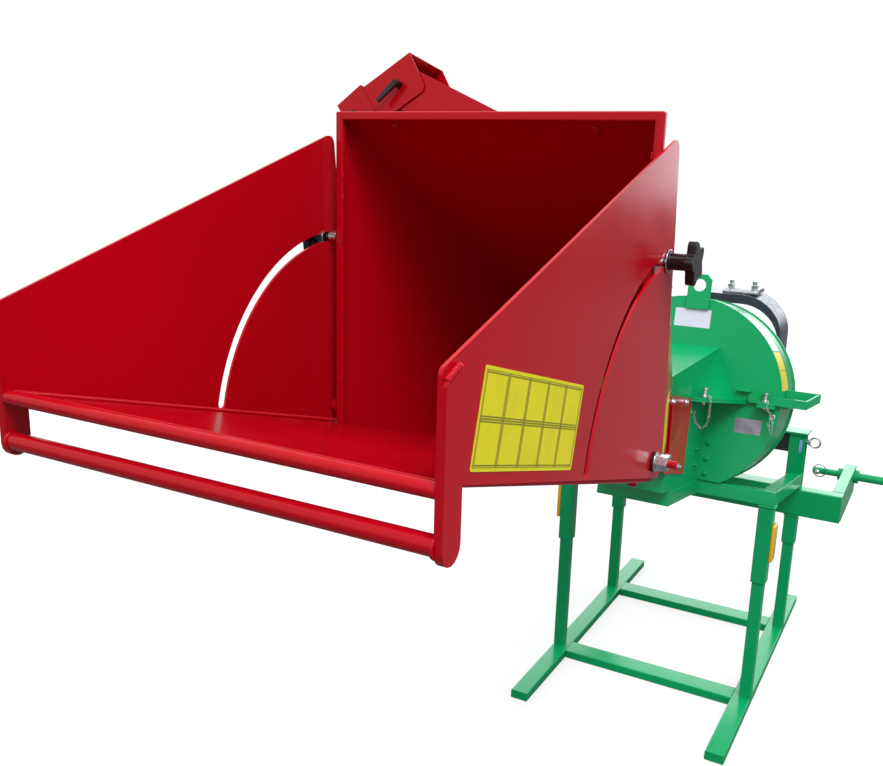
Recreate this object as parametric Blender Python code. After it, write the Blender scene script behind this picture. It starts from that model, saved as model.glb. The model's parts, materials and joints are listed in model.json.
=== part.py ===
# Tractor wood chipper: a three-point-hitch disc chipper on its parking stand.
# Units are metres and +Z is up. +Y points to the tractor, -Y is where wood is fed in,
# and +X is the right-hand side seen from the feeding end.
# The stand, the hitch, the funnel and the folding tray are level. The frame ring, the
# disc housing, the infeed box and the chute lean back by TILT, on the empty "disc_plane".
import bpy
import bmesh
from math import cos, pi, radians, sin
from mathutils import Matrix, Vector

# Driving dimensions
GAP = 0.0003
TILT = radians(10)
DISC_AXIS_X = 0.015
DISC_AXIS_Z = 0.874
DRUM_RADIUS = 0.270
DRUM_DEPTH = 0.210
DRUM_WALL = 0.004
ROTOR_RADIUS = 0.254
SHAFT_RADIUS = 0.0175
SHAFT_HOLE = 0.030
SPLIT_FLANGE_Y = (0.010, 0.190)
HINGE_X = DISC_AXIS_X - DRUM_RADIUS - 0.024
HINGE_RADIUS = 0.009

# Parking stand: flat tube skids and square legs that plug into sleeves of the frame
SKID_INNER = 0.250
SKID_OUTER = 0.300
SKID_Y = (-0.350, 0.737)
SKID_HEIGHT = 0.025
STAND_BAR_Y = ((-0.059, 0.006), (0.452, 0.518))
LEG_SIZE = 0.032
LEG_X = 0.2835
LEG_Y = (-0.022, 0.474)
LEG_TOP = (0.590, 0.408)
SLEEVE_SIZE = 0.040
SLEEVE_BORE = 0.034
SLEEVE_Z = ((0.380, 0.5975), (0.322, 0.4155))

# Frame ring of 40 mm tube, in the tilted frame
TUBE = 0.040
RING_TOP = -0.232
RING_BOTTOM = RING_TOP - TUBE
RING_HALF_WIDTH = 0.303
RING_FRONT_Y = 0.0057
RAIL_END_Y = 0.5053
CRADLE_HALF_WIDTH = 0.095
CRADLE_FRONT_Y = -0.288

# Three-point hitch
HITCH_Y = 0.458
LINK_BEAM_Z = (0.416, 0.503)
LINK_BEAM_DEPTH = 0.050
LINK_BEAM_HALF = 0.425
ARM_INNER = 0.390
ARM_BOTTOM = 0.406
ARM_END_Y = 0.838
LINK_PIN_Y = 0.815
LINK_PIN_Z = 0.470
LINK_PIN_RADIUS = 0.011
POST_X = (0.252, 0.300)
POST_TOP = 0.684
POST_PIN_Y = 0.482
POST_PIN_Z = 0.657
POST_PIN_RADIUS = 0.0075
TOWER_BEAM_Z = 0.621
TOP_LINK_Y = 0.520
TOP_LINK_Z = 0.935
TOP_LINK_RADIUS = 0.0095
GUARD_TOP = 1.104

# Infeed box, hood and throat, in the tilted frame
BOX_HALF = 0.092
BOX_FRONT_Y = -0.345
BOX_WALL = 0.004
THROAT_HALF = 0.086
THROAT_Z = (-0.215, -0.035)
FLANGE_NEAR = (0.117, -0.187)
FLANGE_FAR_X = 0.199
HOOD_SHEET = 0.003
LOCK_PIN_RADIUS = 0.005
LOCK_PINS = {"lock_pin_hood": (0.118, -0.160), "lock_pin_side": (0.2465, -0.025)}

# Funnel and folding tray
RIM_HALF = 0.278
RIM_TOP = 1.570
RIM_BOTTOM = 1.019
RIM_FRONT_Y = -1.248
RIM_BAR = 0.014
NECK_Y = -0.400
NECK_HALF = 0.0963
NECK_Z = (0.818, 0.996)
SHEET = 0.003
PIVOT_Y = -1.231
PIVOT_Z = 1.060
SLOT_RADIUS = 0.304
SLOT_WIDTH = 0.012
SLOT_START = radians(91)
SLOT_SWEEP = radians(76.5)
WING_INNER = 0.293
WING_THICK = 0.004
WING_FRONT_Y = -1.906
BUMPER_BAR_WIDTH = 0.035
BUMPER_BAR_FACE = 0.0095
BUMPER_Z = 1.1600
FLOOR_FALL = radians(16)
STUD_ANGLE = radians(92)
STUD_RADIUS = 0.005

# Discharge chute and its two deflectors, in the tilted frame
CHUTE_LEFT = -0.255
CHUTE_DEPTH = 0.130
CHUTE_BASE = 0.300
CHUTE_FLANGE = 0.018
CHUTE_RISE = radians(23)
BEND_Z = 0.312
BEND_OUTER = 0.360
FLAP_1_PIVOT = (-1.008, 0.856)
FLAP_1_DROP = radians(33.4)
FLAP_2_DROP = radians(38.4)
FLAP_2_REACH = 0.178
FLAP_STUD = 0.005
FLAP_SHEET = 0.003

# Paints and metals
RED = (0.52, 0.006, 0.022)
GREEN = (0.0, 0.32, 0.085)
ZINC = (0.62, 0.64, 0.66)
STEEL = (0.36, 0.36, 0.37)
BLACK = (0.012, 0.012, 0.013)


def clear_scene():
    for obj in list(bpy.data.objects):
        bpy.data.objects.remove(obj, do_unlink=True)


def paint(name, colour, roughness, metallic):
    material = bpy.data.materials.new(name)
    material.use_nodes = True
    shader = material.node_tree.nodes["Principled BSDF"]
    shader.inputs["Base Color"].default_value = (*colour, 1.0)
    shader.inputs["Roughness"].default_value = roughness
    shader.inputs["Metallic"].default_value = metallic
    return material


def red_paint(name):
    return paint(name, RED, 0.28, 0.0)


def green_paint(name):
    return paint(name, GREEN, 0.28, 0.0)


def zinc(name):
    return paint(name, ZINC, 0.35, 1.0)


def bare_steel(name):
    return paint(name, STEEL, 0.4, 1.0)


def black(name):
    return paint(name, BLACK, 0.45, 0.0)


def empty(name, parent, location=(0, 0, 0), rotation=(0, 0, 0)):
    node = bpy.data.objects.new(name, None)
    bpy.context.scene.collection.objects.link(node)
    node.parent = parent
    node.location = location
    node.rotation_euler = rotation
    return node


def solid(bm):
    """Turn a bmesh into a linked object whose faces point out."""
    bmesh.ops.recalc_face_normals(bm, faces=bm.faces)
    mesh = bpy.data.meshes.new("tool")
    bm.to_mesh(mesh)
    bm.free()
    obj = bpy.data.objects.new("tool", mesh)
    bpy.context.scene.collection.objects.link(obj)
    return obj


def cuboid(low, high):
    bm = bmesh.new()
    bmesh.ops.create_cube(bm, size=1.0)
    for vert in bm.verts:
        for axis in range(3):
            vert.co[axis] = low[axis] if vert.co[axis] < 0 else high[axis]
    return solid(bm)


def tube_bar(low, high, bevel=0.003):
    """A box-section bar: a cuboid with its four long edges broken."""
    obj = cuboid(low, high)
    long_axis = max(range(3), key=lambda axis: high[axis] - low[axis])
    bm = bmesh.new()
    bm.from_mesh(obj.data)
    edges = []
    for edge in bm.edges:
        span = edge.verts[1].co - edge.verts[0].co
        if abs(span[long_axis]) > 0.9 * (high[long_axis] - low[long_axis]):
            edges.append(edge)
    bmesh.ops.bevel(bm, geom=edges, offset=bevel, segments=2, profile=0.5, affect="EDGES")
    bm.to_mesh(obj.data)
    bm.free()
    return obj


def prism(outline, axis, start, end):
    """Extrude an outline along X (points are y, z), Y (x, z) or Z (x, y)."""
    place = {
        "X": lambda point, along: (along, point[0], point[1]),
        "Y": lambda point, along: (point[0], along, point[1]),
        "Z": lambda point, along: (point[0], point[1], along),
    }[axis]
    bm = bmesh.new()
    near = [bm.verts.new(place(point, start)) for point in outline]
    far = [bm.verts.new(place(point, end)) for point in outline]
    bm.faces.new(near)
    bm.faces.new(far)
    for index in range(len(outline)):
        following = (index + 1) % len(outline)
        bm.faces.new((near[index], near[following], far[following], far[index]))
    return solid(bm)


def hull_box(near, far):
    """A six-sided solid between two four-cornered ends."""
    bm = bmesh.new()
    ring_a = [bm.verts.new(corner) for corner in near]
    ring_b = [bm.verts.new(corner) for corner in far]
    bm.faces.new(ring_a)
    bm.faces.new(ring_b)
    for index in range(4):
        following = (index + 1) % 4
        bm.faces.new((ring_a[index], ring_a[following], ring_b[following], ring_b[index]))
    return solid(bm)


def lathe(profile, axis, centre, sides=24):
    """Turn a profile of (radius, along) pairs, which runs from axis to axis, about an axis."""
    turn = {
        "X": lambda radius, angle, along: (along, radius * cos(angle), radius * sin(angle)),
        "Y": lambda radius, angle, along: (radius * cos(angle), along, radius * sin(angle)),
        "Z": lambda radius, angle, along: (radius * cos(angle), radius * sin(angle), along),
    }[axis]
    bm = bmesh.new()
    rings = []
    for radius, along in profile:
        count = sides if radius > 0 else 1
        ring = []
        for step in range(count):
            spot = Vector(turn(radius, 2 * pi * step / sides, along)) + Vector(centre)
            ring.append(bm.verts.new(spot))
        rings.append(ring)
    for lower, upper in zip(rings, rings[1:]):
        for step in range(sides):
            following = (step + 1) % sides
            if len(lower) == 1:
                bm.faces.new((lower[0], upper[step], upper[following]))
            elif len(upper) == 1:
                bm.faces.new((lower[step], lower[following], upper[0]))
            else:
                bm.faces.new((lower[step], lower[following], upper[following], upper[step]))
    return solid(bm)


def rod(axis, radius, start, end, centre=(0, 0, 0), sides=24):
    profile = [(0, start), (radius, start), (radius, end), (0, end)]
    return lathe(profile, axis, centre, sides)


def ring_of_wire(centre, radius, wire, turn):
    """A closed round ring; turn is the matrix that lays its plane from XY."""
    bm = bmesh.new()
    steps = 20
    sides = 8
    loops = []
    for step in range(steps):
        around = 2 * pi * step / steps
        loop = []
        for side in range(sides):
            across = 2 * pi * side / sides
            reach = radius + wire * cos(across)
            spot = Vector((reach * cos(around), reach * sin(around), wire * sin(across)))
            loop.append(bm.verts.new(turn @ spot + Vector(centre)))
        loops.append(loop)
    for step in range(steps):
        this = loops[step]
        following = loops[(step + 1) % steps]
        for side in range(sides):
            other = (side + 1) % sides
            bm.faces.new((this[side], this[other], following[other], following[side]))
    return solid(bm)


def arc(centre, radius, start, end, steps):
    points = []
    for step in range(steps + 1):
        angle = start + (end - start) * step / steps
        points.append((centre[0] + radius * cos(angle), centre[1] + radius * sin(angle)))
    return points


def combine(target, tools, operation):
    """Apply one EXACT boolean for each tool and remove the tool."""
    for tool in tools:
        modifier = target.modifiers.new("shape", "BOOLEAN")
        modifier.operation = operation
        modifier.solver = "EXACT"
        modifier.object = tool
        bpy.context.view_layer.update()
        graph = bpy.context.evaluated_depsgraph_get()
        mesh = bpy.data.meshes.new_from_object(target.evaluated_get(graph))
        target.modifiers.clear()
        target.data = mesh
        bpy.data.objects.remove(tool, do_unlink=True)
    return target


def join(target, *tools):
    return combine(target, tools, "UNION")


def cut(target, *tools):
    return combine(target, tools, "DIFFERENCE")


def seat(obj, name, material, parent, origin=(0, 0, 0), smooth=False):
    """Name and parent a piece, and move its origin to a point of the parent's frame."""
    obj.name = name
    obj.data.name = name
    obj.data.transform(Matrix.Translation(-Vector(origin)))
    obj.parent = parent
    obj.location = origin
    obj.data.materials.clear()
    obj.data.materials.append(material)
    if smooth:
        obj.data.shade_smooth()
        obj.data.set_sharp_from_angle(angle=radians(35))
    return obj


def mirrored(obj, name):
    """A mirror twin of a finished piece across the plane X = 0 of its parent."""
    twin = bpy.data.objects.new(name, obj.data.copy())
    bpy.context.scene.collection.objects.link(twin)
    flip = Matrix.Scale(-1, 4, Vector((1, 0, 0)))
    twin.data.transform(flip)
    twin.data.flip_normals()
    twin.data.name = name
    twin.parent = obj.parent
    twin.location = (-obj.location.x, obj.location.y, obj.location.z)
    material = obj.data.materials[0].copy()
    material.name = name
    twin.data.materials.clear()
    twin.data.materials.append(material)
    return twin


def build_stand(machine):
    """Two sides of skid and legs, joined by two cross bars."""
    stand = empty("stand_slide", machine)
    side = tube_bar((SKID_INNER, SKID_Y[0], 0), (SKID_OUTER, SKID_Y[1], SKID_HEIGHT))
    half = LEG_SIZE / 2
    for leg_y, leg_top in zip(LEG_Y, LEG_TOP):
        low = (LEG_X - half, leg_y - half, SKID_HEIGHT / 2)
        high = (LEG_X + half, leg_y + half, leg_top)
        join(side, tube_bar(low, high))
    seat(side, "stand_side_right", green_paint("stand_side_right"), stand, (LEG_X, 0, 0))
    mirrored(side, "stand_side_left")
    for name, span in zip(("stand_bar_front", "stand_bar_rear"), STAND_BAR_Y):
        reach = SKID_INNER - GAP
        bar = tube_bar((-reach, span[0], 0), (reach, span[1], SKID_HEIGHT))
        seat(bar, name, green_paint(name), stand, (0, sum(span) / 2, 0))


def build_sleeves(machine):
    """Open square sleeves that take the stand's legs."""
    for place, leg_y, span in zip(("front", "rear"), LEG_Y, SLEEVE_Z):
        outer = SLEEVE_SIZE / 2
        bore = SLEEVE_BORE / 2
        low = (LEG_X - outer, leg_y - outer, span[0])
        high = (LEG_X + outer, leg_y + outer, span[1])
        sleeve = tube_bar(low, high)
        hole_low = (LEG_X - bore, leg_y - bore, span[0] - 0.01)
        hole_high = (LEG_X + bore, leg_y + bore, span[1] + 0.01)
        cut(sleeve, cuboid(hole_low, hole_high))
        name = "sleeve_" + place + "_right"
        seat(sleeve, name, green_paint(name), machine, (LEG_X, leg_y, span[0]))
        mirrored(sleeve, "sleeve_" + place + "_left")


def build_ring(machine, disc_plane):
    """The tilted ring of square tube, its feed-side cradle and the level rear beam."""
    front_end = RING_FRONT_Y + TUBE
    front_low = (-RING_HALF_WIDTH, RING_FRONT_Y, RING_BOTTOM)
    front = tube_bar(front_low, (RING_HALF_WIDTH, front_end, RING_TOP))
    seat(front, "ring_front", green_paint("ring_front"), disc_plane, (0, RING_FRONT_Y, RING_TOP))
    rail_low = (RING_HALF_WIDTH - TUBE, front_end + GAP, RING_BOTTOM)
    rail = tube_bar(rail_low, (RING_HALF_WIDTH, RAIL_END_Y, RING_TOP))
    rail_origin = (RING_HALF_WIDTH, front_end, RING_TOP)
    seat(rail, "ring_rail_right", green_paint("ring_rail_right"), disc_plane, rail_origin)
    mirrored(rail, "ring_rail_left")
    inner = CRADLE_HALF_WIDTH - TUBE
    back = RING_FRONT_Y - GAP
    outline = [
        (-CRADLE_HALF_WIDTH, CRADLE_FRONT_Y),
        (CRADLE_HALF_WIDTH, CRADLE_FRONT_Y),
        (CRADLE_HALF_WIDTH, back),
        (inner, back),
        (inner, CRADLE_FRONT_Y + TUBE),
        (-inner, CRADLE_FRONT_Y + TUBE),
        (-inner, back),
        (-CRADLE_HALF_WIDTH, back),
    ]
    cradle = prism(outline, "Z", RING_BOTTOM, RING_TOP)
    seat(cradle, "cradle", green_paint("cradle"), disc_plane, (0, CRADLE_FRONT_Y, RING_TOP))
    reach = RING_HALF_WIDTH - TUBE - GAP
    rear = tube_bar((-reach, 0.380, 0.493), (reach, 0.440, 0.533))
    seat(rear, "ring_rear", green_paint("ring_rear"), machine, (0, 0.410, 0.533))


def build_hitch(machine):
    """Lower-link beam, arms and pins, the tower with its cap plates and the top-link mast."""
    beam_end = HITCH_Y + LINK_BEAM_DEPTH
    low = (-LINK_BEAM_HALF, HITCH_Y, LINK_BEAM_Z[0])
    beam = tube_bar(low, (LINK_BEAM_HALF, beam_end, LINK_BEAM_Z[1]), bevel=0.005)
    seat(beam, "link_beam", green_paint("link_beam"), machine, (0, HITCH_Y, LINK_BEAM_Z[1]))

    low = (ARM_INNER, beam_end + GAP, ARM_BOTTOM)
    arm = tube_bar(low, (LINK_BEAM_HALF, ARM_END_Y, LINK_BEAM_Z[1]), bevel=0.004)
    pin_centre = (0, LINK_PIN_Y, LINK_PIN_Z)
    cut(arm, rod("X", LINK_PIN_RADIUS + 0.0006, 0.380, 0.440, pin_centre))
    arm_origin = (LINK_BEAM_HALF, beam_end, LINK_PIN_Z)
    seat(arm, "link_arm_right", green_paint("link_arm_right"), machine, arm_origin)
    mirrored(arm, "link_arm_left")

    outer_face = LINK_BEAM_HALF + GAP
    tip = 0.292
    profile = [
        (0, tip),
        (LINK_PIN_RADIUS - 0.002, tip),
        (LINK_PIN_RADIUS, tip + 0.002),
        (LINK_PIN_RADIUS, 0.372),
        (0.021, 0.372),
        (0.021, ARM_INNER - GAP),
        (LINK_PIN_RADIUS, ARM_INNER - GAP),
        (LINK_PIN_RADIUS, outer_face),
        (0.023, outer_face),
        (0.023, outer_face + 0.012),
        (0.014, outer_face + 0.012),
        (0.014, 0.516),
        (0.012, 0.520),
        (0, 0.520),
    ]
    pin = lathe(profile, "X", pin_centre)
    pin_origin = (tip, LINK_PIN_Y, LINK_PIN_Z)
    seat(pin, "link_pin_right", green_paint("link_pin_right"), machine, pin_origin, smooth=True)
    mirrored(pin, "link_pin_left")

    lip = 0.006
    post_end = beam_end - 0.002
    outline = [
        (POST_X[0], HITCH_Y),
        (POST_X[1], HITCH_Y),
        (POST_X[1], HITCH_Y + lip),
        (POST_X[0] + lip, HITCH_Y + lip),
        (POST_X[0] + lip, post_end - lip),
        (POST_X[1], post_end - lip),
        (POST_X[1], post_end),
        (POST_X[0], post_end),
    ]
    post = prism(outline, "Z", LINK_BEAM_Z[1] + GAP, POST_TOP + 0.003)
    cap_low = (POST_X[0] - 0.016, HITCH_Y - 0.008, POST_TOP)
    join(post, cuboid(cap_low, (POST_X[1] + 0.006, beam_end + 0.006, POST_TOP + 0.006)))
    pin_hole = POST_PIN_RADIUS + 0.001
    cut(post, rod("X", pin_hole, POST_X[0] - 0.01, POST_X[1] + 0.01, (0, POST_PIN_Y, POST_PIN_Z)))
    post_origin = (POST_X[0], HITCH_Y, LINK_BEAM_Z[1])
    seat(post, "tower_post_right", green_paint("tower_post_right"), machine, post_origin)
    mirrored(post, "tower_post_left")

    reach = POST_X[0] - GAP
    tower = tube_bar((-reach, 0.462, TOWER_BEAM_Z), (reach, 0.502, POST_TOP - GAP))
    for side in (1, -1):
        start, end = sorted((side * 0.2, side * 0.3))
        cut(tower, rod("X", pin_hole, start, end, (0, POST_PIN_Y, POST_PIN_Z)))
    seat(tower, "tower_beam", black("tower_beam"), machine, (0, POST_PIN_Y, TOWER_BEAM_Z))

    build_mast(machine)
    build_post_pins(machine)


def build_mast(machine):
    """A portal over the drive shaft with the two top-link lugs."""
    leg_out = 0.105
    leg_in = 0.075
    centre = DISC_AXIS_X
    outline = [
        (centre - leg_out, POST_TOP),
        (centre - leg_in, POST_TOP),
        (centre - leg_in, 0.862),
        (centre + leg_in, 0.862),
        (centre + leg_in, POST_TOP),
        (centre + leg_out, POST_TOP),
        (centre + leg_out, 0.875),
        (centre + leg_out - 0.035, 0.905),
        (centre - leg_out + 0.035, 0.905),
        (centre - leg_out, 0.875),
    ]
    mast = prism(outline, "Y", 0.476, 0.490)
    lug_end = arc((TOP_LINK_Y, TOP_LINK_Z), 0.026, radians(-30), radians(180), 10)
    lug = [(0.480, 0.866), (0.540, 0.905), *lug_end]
    for inner in (centre - 0.036, centre + 0.026):
        join(mast, prism(lug, "X", inner, inner + 0.010))
    link_hole = TOP_LINK_RADIUS + 0.0007
    cut(mast, rod("X", link_hole, centre - 0.06, centre + 0.06, (0, TOP_LINK_Y, TOP_LINK_Z)))
    seat(mast, "top_link_mast", green_paint("top_link_mast"), machine, (centre, 0.476, POST_TOP))

    profile = [
        (0, -0.042),
        (TOP_LINK_RADIUS - 0.002, -0.042),
        (TOP_LINK_RADIUS, -0.040),
        (TOP_LINK_RADIUS, 0.066),
        (0.015, 0.066),
        (0.015, 0.074),
        (0, 0.074),
    ]
    pin = lathe(profile, "X", (0, TOP_LINK_Y, TOP_LINK_Z), sides=20)
    pin_origin = (centre, TOP_LINK_Y, TOP_LINK_Z)
    seat(pin, "top_link_pin", zinc("top_link_pin"), machine, pin_origin, smooth=True)


def build_post_pins(machine):
    """Retaining pins with a pull ring through the tower posts."""
    centre = (0, POST_PIN_Y, POST_PIN_Z)
    profile = [
        (0, 0.232),
        (POST_PIN_RADIUS, 0.232),
        (POST_PIN_RADIUS, 0.306),
        (0.011, 0.306),
        (0.011, 0.312),
        (0, 0.312),
    ]
    pin = lathe(profile, "X", centre, 16)
    stand_up = Matrix.Rotation(radians(90), 3, "X")
    join(pin, ring_of_wire((0.325, POST_PIN_Y, POST_PIN_Z), 0.0155, 0.003, stand_up))
    seat(pin, "post_pin_right", zinc("post_pin_right"), machine, centre, smooth=True)
    mirrored(pin, "post_pin_left")


def half_disc(radius, upper, span_y):
    """A half cylinder across the disc axis, above or below the split plane."""
    start = 0 if upper else pi
    points = arc((DISC_AXIS_X, 0), radius, start, start + pi, 40)
    lift = GAP if upper else -GAP
    points = [(x, z + lift) for x, z in points]
    return prism(points, "Y", span_y[0], span_y[1])


def seam_block(half_width):
    """A tool that carries the drum's hollow through the split plane."""
    low = (DISC_AXIS_X - half_width, DRUM_WALL, -0.01)
    return cuboid(low, (DISC_AXIS_X + half_width, DRUM_DEPTH - DRUM_WALL, 0.01))


def build_lower_housing(disc_plane):
    """The lower half drum, flat where it stands on the ring, with the throat cut in its face."""
    inner = DRUM_RADIUS - DRUM_WALL
    shell = half_disc(DRUM_RADIUS, False, (0, DRUM_DEPTH))
    join(shell, half_disc(DRUM_RADIUS + 0.004, False, (DRUM_DEPTH - 0.012, DRUM_DEPTH)))
    ring_end = RING_FRONT_Y + TUBE + 0.0005
    shelf = RING_TOP + GAP
    cut(shell, cuboid((-0.3, -0.02, -0.3), (0.3, ring_end, shelf)))
    inside = half_disc(inner, False, (DRUM_WALL, DRUM_DEPTH - DRUM_WALL))
    join(inside, seam_block(inner))
    cut(inside, cuboid((-0.3, -0.02, -0.3), (0.3, ring_end + DRUM_WALL, shelf + DRUM_WALL)))
    cut(shell, inside)
    cut(shell, cuboid((-THROAT_HALF, -0.01, THROAT_Z[0]), (THROAT_HALF, 0.02, THROAT_Z[1])))
    cut(shell, rod("Y", SHAFT_HOLE, 0.19, 0.23, (DISC_AXIS_X, 0, 0), 32))
    seam = -GAP
    edge = DISC_AXIS_X + DRUM_RADIUS - 0.002
    flange_low = (edge, SPLIT_FLANGE_Y[0], seam - 0.006)
    join(shell, cuboid(flange_low, (edge + 0.020, SPLIT_FLANGE_Y[1], seam)))
    lug = cuboid((0.229, -0.040, seam - 0.008), (0.274, 0.002, seam))
    pin_spot = (*LOCK_PINS["lock_pin_side"], 0)
    cut(lug, rod("Z", LOCK_PIN_RADIUS + 0.0025, -0.02, 0.01, pin_spot, 16))
    join(shell, lug)
    for start, end in ((0.020, 0.060), (0.150, 0.190)):
        join(shell, hinge_leaf(start, end, -0.014))
    return seat(shell, "lower_housing", green_paint("lower_housing"), disc_plane, (DISC_AXIS_X, 0, 0))


def hinge_leaf(start, end, drop):
    """A knuckle on the cover's hinge axis with the strap that welds it to the drum."""
    knuckle = rod("Y", HINGE_RADIUS, start, end, (HINGE_X, 0, 0), 20)
    strap_z = sorted((0.0006 if drop > 0 else -0.0006, drop * 0.5))
    strap = cuboid((HINGE_X, start, strap_z[0]), (DISC_AXIS_X - DRUM_RADIUS + 0.003, end, strap_z[1]))
    return join(knuckle, strap)


def lifting_eye():
    """The eye plate that is welded to the top of the drum's face."""
    low, high, half = 0.236, 0.331, 0.031
    centre = DISC_AXIS_X + 0.016
    chamfer = 0.012
    outline = [
        (centre - half, low),
        (centre + half, low),
        (centre + half, high - chamfer),
        (centre + half - chamfer, high),
        (centre - half + chamfer, high),
        (centre - half, high - chamfer),
    ]
    eye = prism(outline, "Y", -0.0085, 0.0005)
    return cut(eye, rod("Y", 0.017, -0.02, 0.01, (centre, 0, 0.301), 24))


def build_upper_housing(cover):
    """The upper half drum with its tangential outlet on the left, hinged along the left seam."""
    neck_top = CHUTE_BASE - GAP
    right = CHUTE_LEFT + CHUTE_DEPTH
    wall = DRUM_WALL
    inner = DRUM_RADIUS - wall
    shell = half_disc(DRUM_RADIUS, True, (0, DRUM_DEPTH))
    join(shell, half_disc(DRUM_RADIUS + 0.004, True, (DRUM_DEPTH - 0.012, DRUM_DEPTH)))
    join(shell, cuboid((CHUTE_LEFT, 0, GAP), (right, DRUM_DEPTH, neck_top)))
    flange_low = (CHUTE_LEFT - CHUTE_FLANGE, -CHUTE_FLANGE, neck_top - 0.004)
    flange_high = (right + CHUTE_FLANGE, DRUM_DEPTH + CHUTE_FLANGE, neck_top)
    join(shell, cuboid(flange_low, flange_high))
    inside = half_disc(inner, True, (wall, DRUM_DEPTH - wall))
    join(inside, seam_block(inner))
    duct_low = (CHUTE_LEFT + wall, wall, 0.002)
    join(inside, cuboid(duct_low, (right - wall, DRUM_DEPTH - wall, neck_top + 0.02)))
    cut(shell, inside)
    cut(shell, rod("Y", SHAFT_HOLE, 0.19, 0.23, (DISC_AXIS_X, 0, 0), 32))
    edge = DISC_AXIS_X + DRUM_RADIUS - 0.002
    seam_low = (edge, SPLIT_FLANGE_Y[0], GAP)
    join(shell, cuboid(seam_low, (edge + 0.020, SPLIT_FLANGE_Y[1], GAP + 0.006)))
    join(shell, hinge_leaf(0.0605, 0.1495, 0.014), lifting_eye())
    return seat(shell, "upper_housing", green_paint("upper_housing"), cover)


def upright_end(x_low, x_high, y, z_low, z_high):
    """The four corners of an upright end face, for hull_box."""
    return [(x_low, y, z_low), (x_high, y, z_low), (x_high, y, z_high), (x_low, y, z_high)]


def build_cover_fittings(cover):
    """What is welded to the cover: carrying handle and feed hood."""
    front_low, front_high = GAP, 0.023
    back_low, back_high = 0.020, 0.043
    handle = cuboid((0.2015, -0.014, front_low), (0.350, -0.008, front_high))
    join(handle, cuboid((0.278, 0.060, back_low), (0.372, 0.066, back_high)))
    near = upright_end(0.344, 0.350, -0.014, front_low, front_high)
    join(handle, hull_box(near, upright_end(0.366, 0.372, 0.066, back_low, back_high)))
    drum = rod("Y", DRUM_RADIUS + GAP, -0.0005, 0.3, (DISC_AXIS_X, 0, 0), 80)
    cut(handle, drum)
    cut(handle, cuboid((0.2, -0.005, -0.02), (0.3053, 0.2, 0.0066)))
    lug = cuboid((0.229, -0.040, GAP), (0.274, -0.010, 0.006))
    join(handle, lug)
    pin_spot = (*LOCK_PINS["lock_pin_side"], 0)
    cut(handle, rod("Z", LOCK_PIN_RADIUS + 0.0006, -0.02, 0.02, pin_spot, 16))
    seat(handle, "cover_handle", green_paint("cover_handle"), cover)

    build_hood(cover)


def hood_skin():
    """The hood's sheet: a roof and two folded sides, open below, in front and behind."""
    back = -0.0006
    roof_back, roof_front = 0.107, 0.0905
    points = {
        "roof_back": (roof_back, back, 0.137),
        "roof_front": (roof_front, -0.395, 0.060),
        "seam_back": (0.162, back, 0.0006),
        "seam_bend": (0.0915, -0.188, 0.0006),
        "seam_front": (roof_front, -0.395, 0.0006),
    }
    bm = bmesh.new()
    verts = {}
    for side in (1, -1):
        for name, (x, y, z) in points.items():
            verts[name, side] = bm.verts.new((x * side, y, z))
    for side in (1, -1):
        bm.faces.new([verts[name, side] for name in ("roof_back", "seam_back", "seam_bend")])
        bm.faces.new([verts[name, side] for name in ("roof_back", "seam_bend", "roof_front")])
        bm.faces.new([verts[name, side] for name in ("seam_bend", "seam_front", "roof_front")])
    roof = (("roof_back", 1), ("roof_front", 1), ("roof_front", -1), ("roof_back", -1))
    bm.faces.new([verts[corner] for corner in roof])
    return solid(bm)


def flange_outline(inner_x):
    """The three-cornered seam flange beside the infeed box, from the bend to the drum's face."""
    return [
        (inner_x, FLANGE_NEAR[1] - 0.004),
        (FLANGE_NEAR[0], FLANGE_NEAR[1]),
        (FLANGE_FAR_X, -0.0006),
        (inner_x, -0.0006),
    ]


def build_hood(cover):
    """The hood over the infeed box: its skin thickened, with a seam flange on each side."""
    hood = hood_skin()
    thicken = hood.modifiers.new("sheet", "SOLIDIFY")
    thicken.thickness = HOOD_SHEET
    thicken.offset = -1.0
    thicken.use_even_offset = True
    bpy.context.view_layer.update()
    graph = bpy.context.evaluated_depsgraph_get()
    hood.data = bpy.data.meshes.new_from_object(hood.evaluated_get(graph))
    hood.modifiers.clear()
    keep = cuboid((-0.3, -0.394, 0.0008), (0.3, -0.0008, 0.2))
    combine(hood, [keep], "INTERSECT")
    for side in (1, -1):
        outline = [(x * side, y) for x, y in flange_outline(0.088)]
        flange = prism(outline, "Z", GAP, 0.006)
        inner = [(0.0, -0.1935), (0.0935, -0.1935), (0.1585, 0.01), (0.0, 0.01)]
        cut(flange, prism([(x * side, y) for x, y in inner], "Z", -0.01, 0.02))
        join(hood, flange)
    pin_spot = (*LOCK_PINS["lock_pin_hood"], 0)
    cut(hood, rod("Z", LOCK_PIN_RADIUS + 0.0006, -0.02, 0.02, pin_spot, 16))
    seat(hood, "infeed_hood", green_paint("infeed_hood"), cover)


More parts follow.
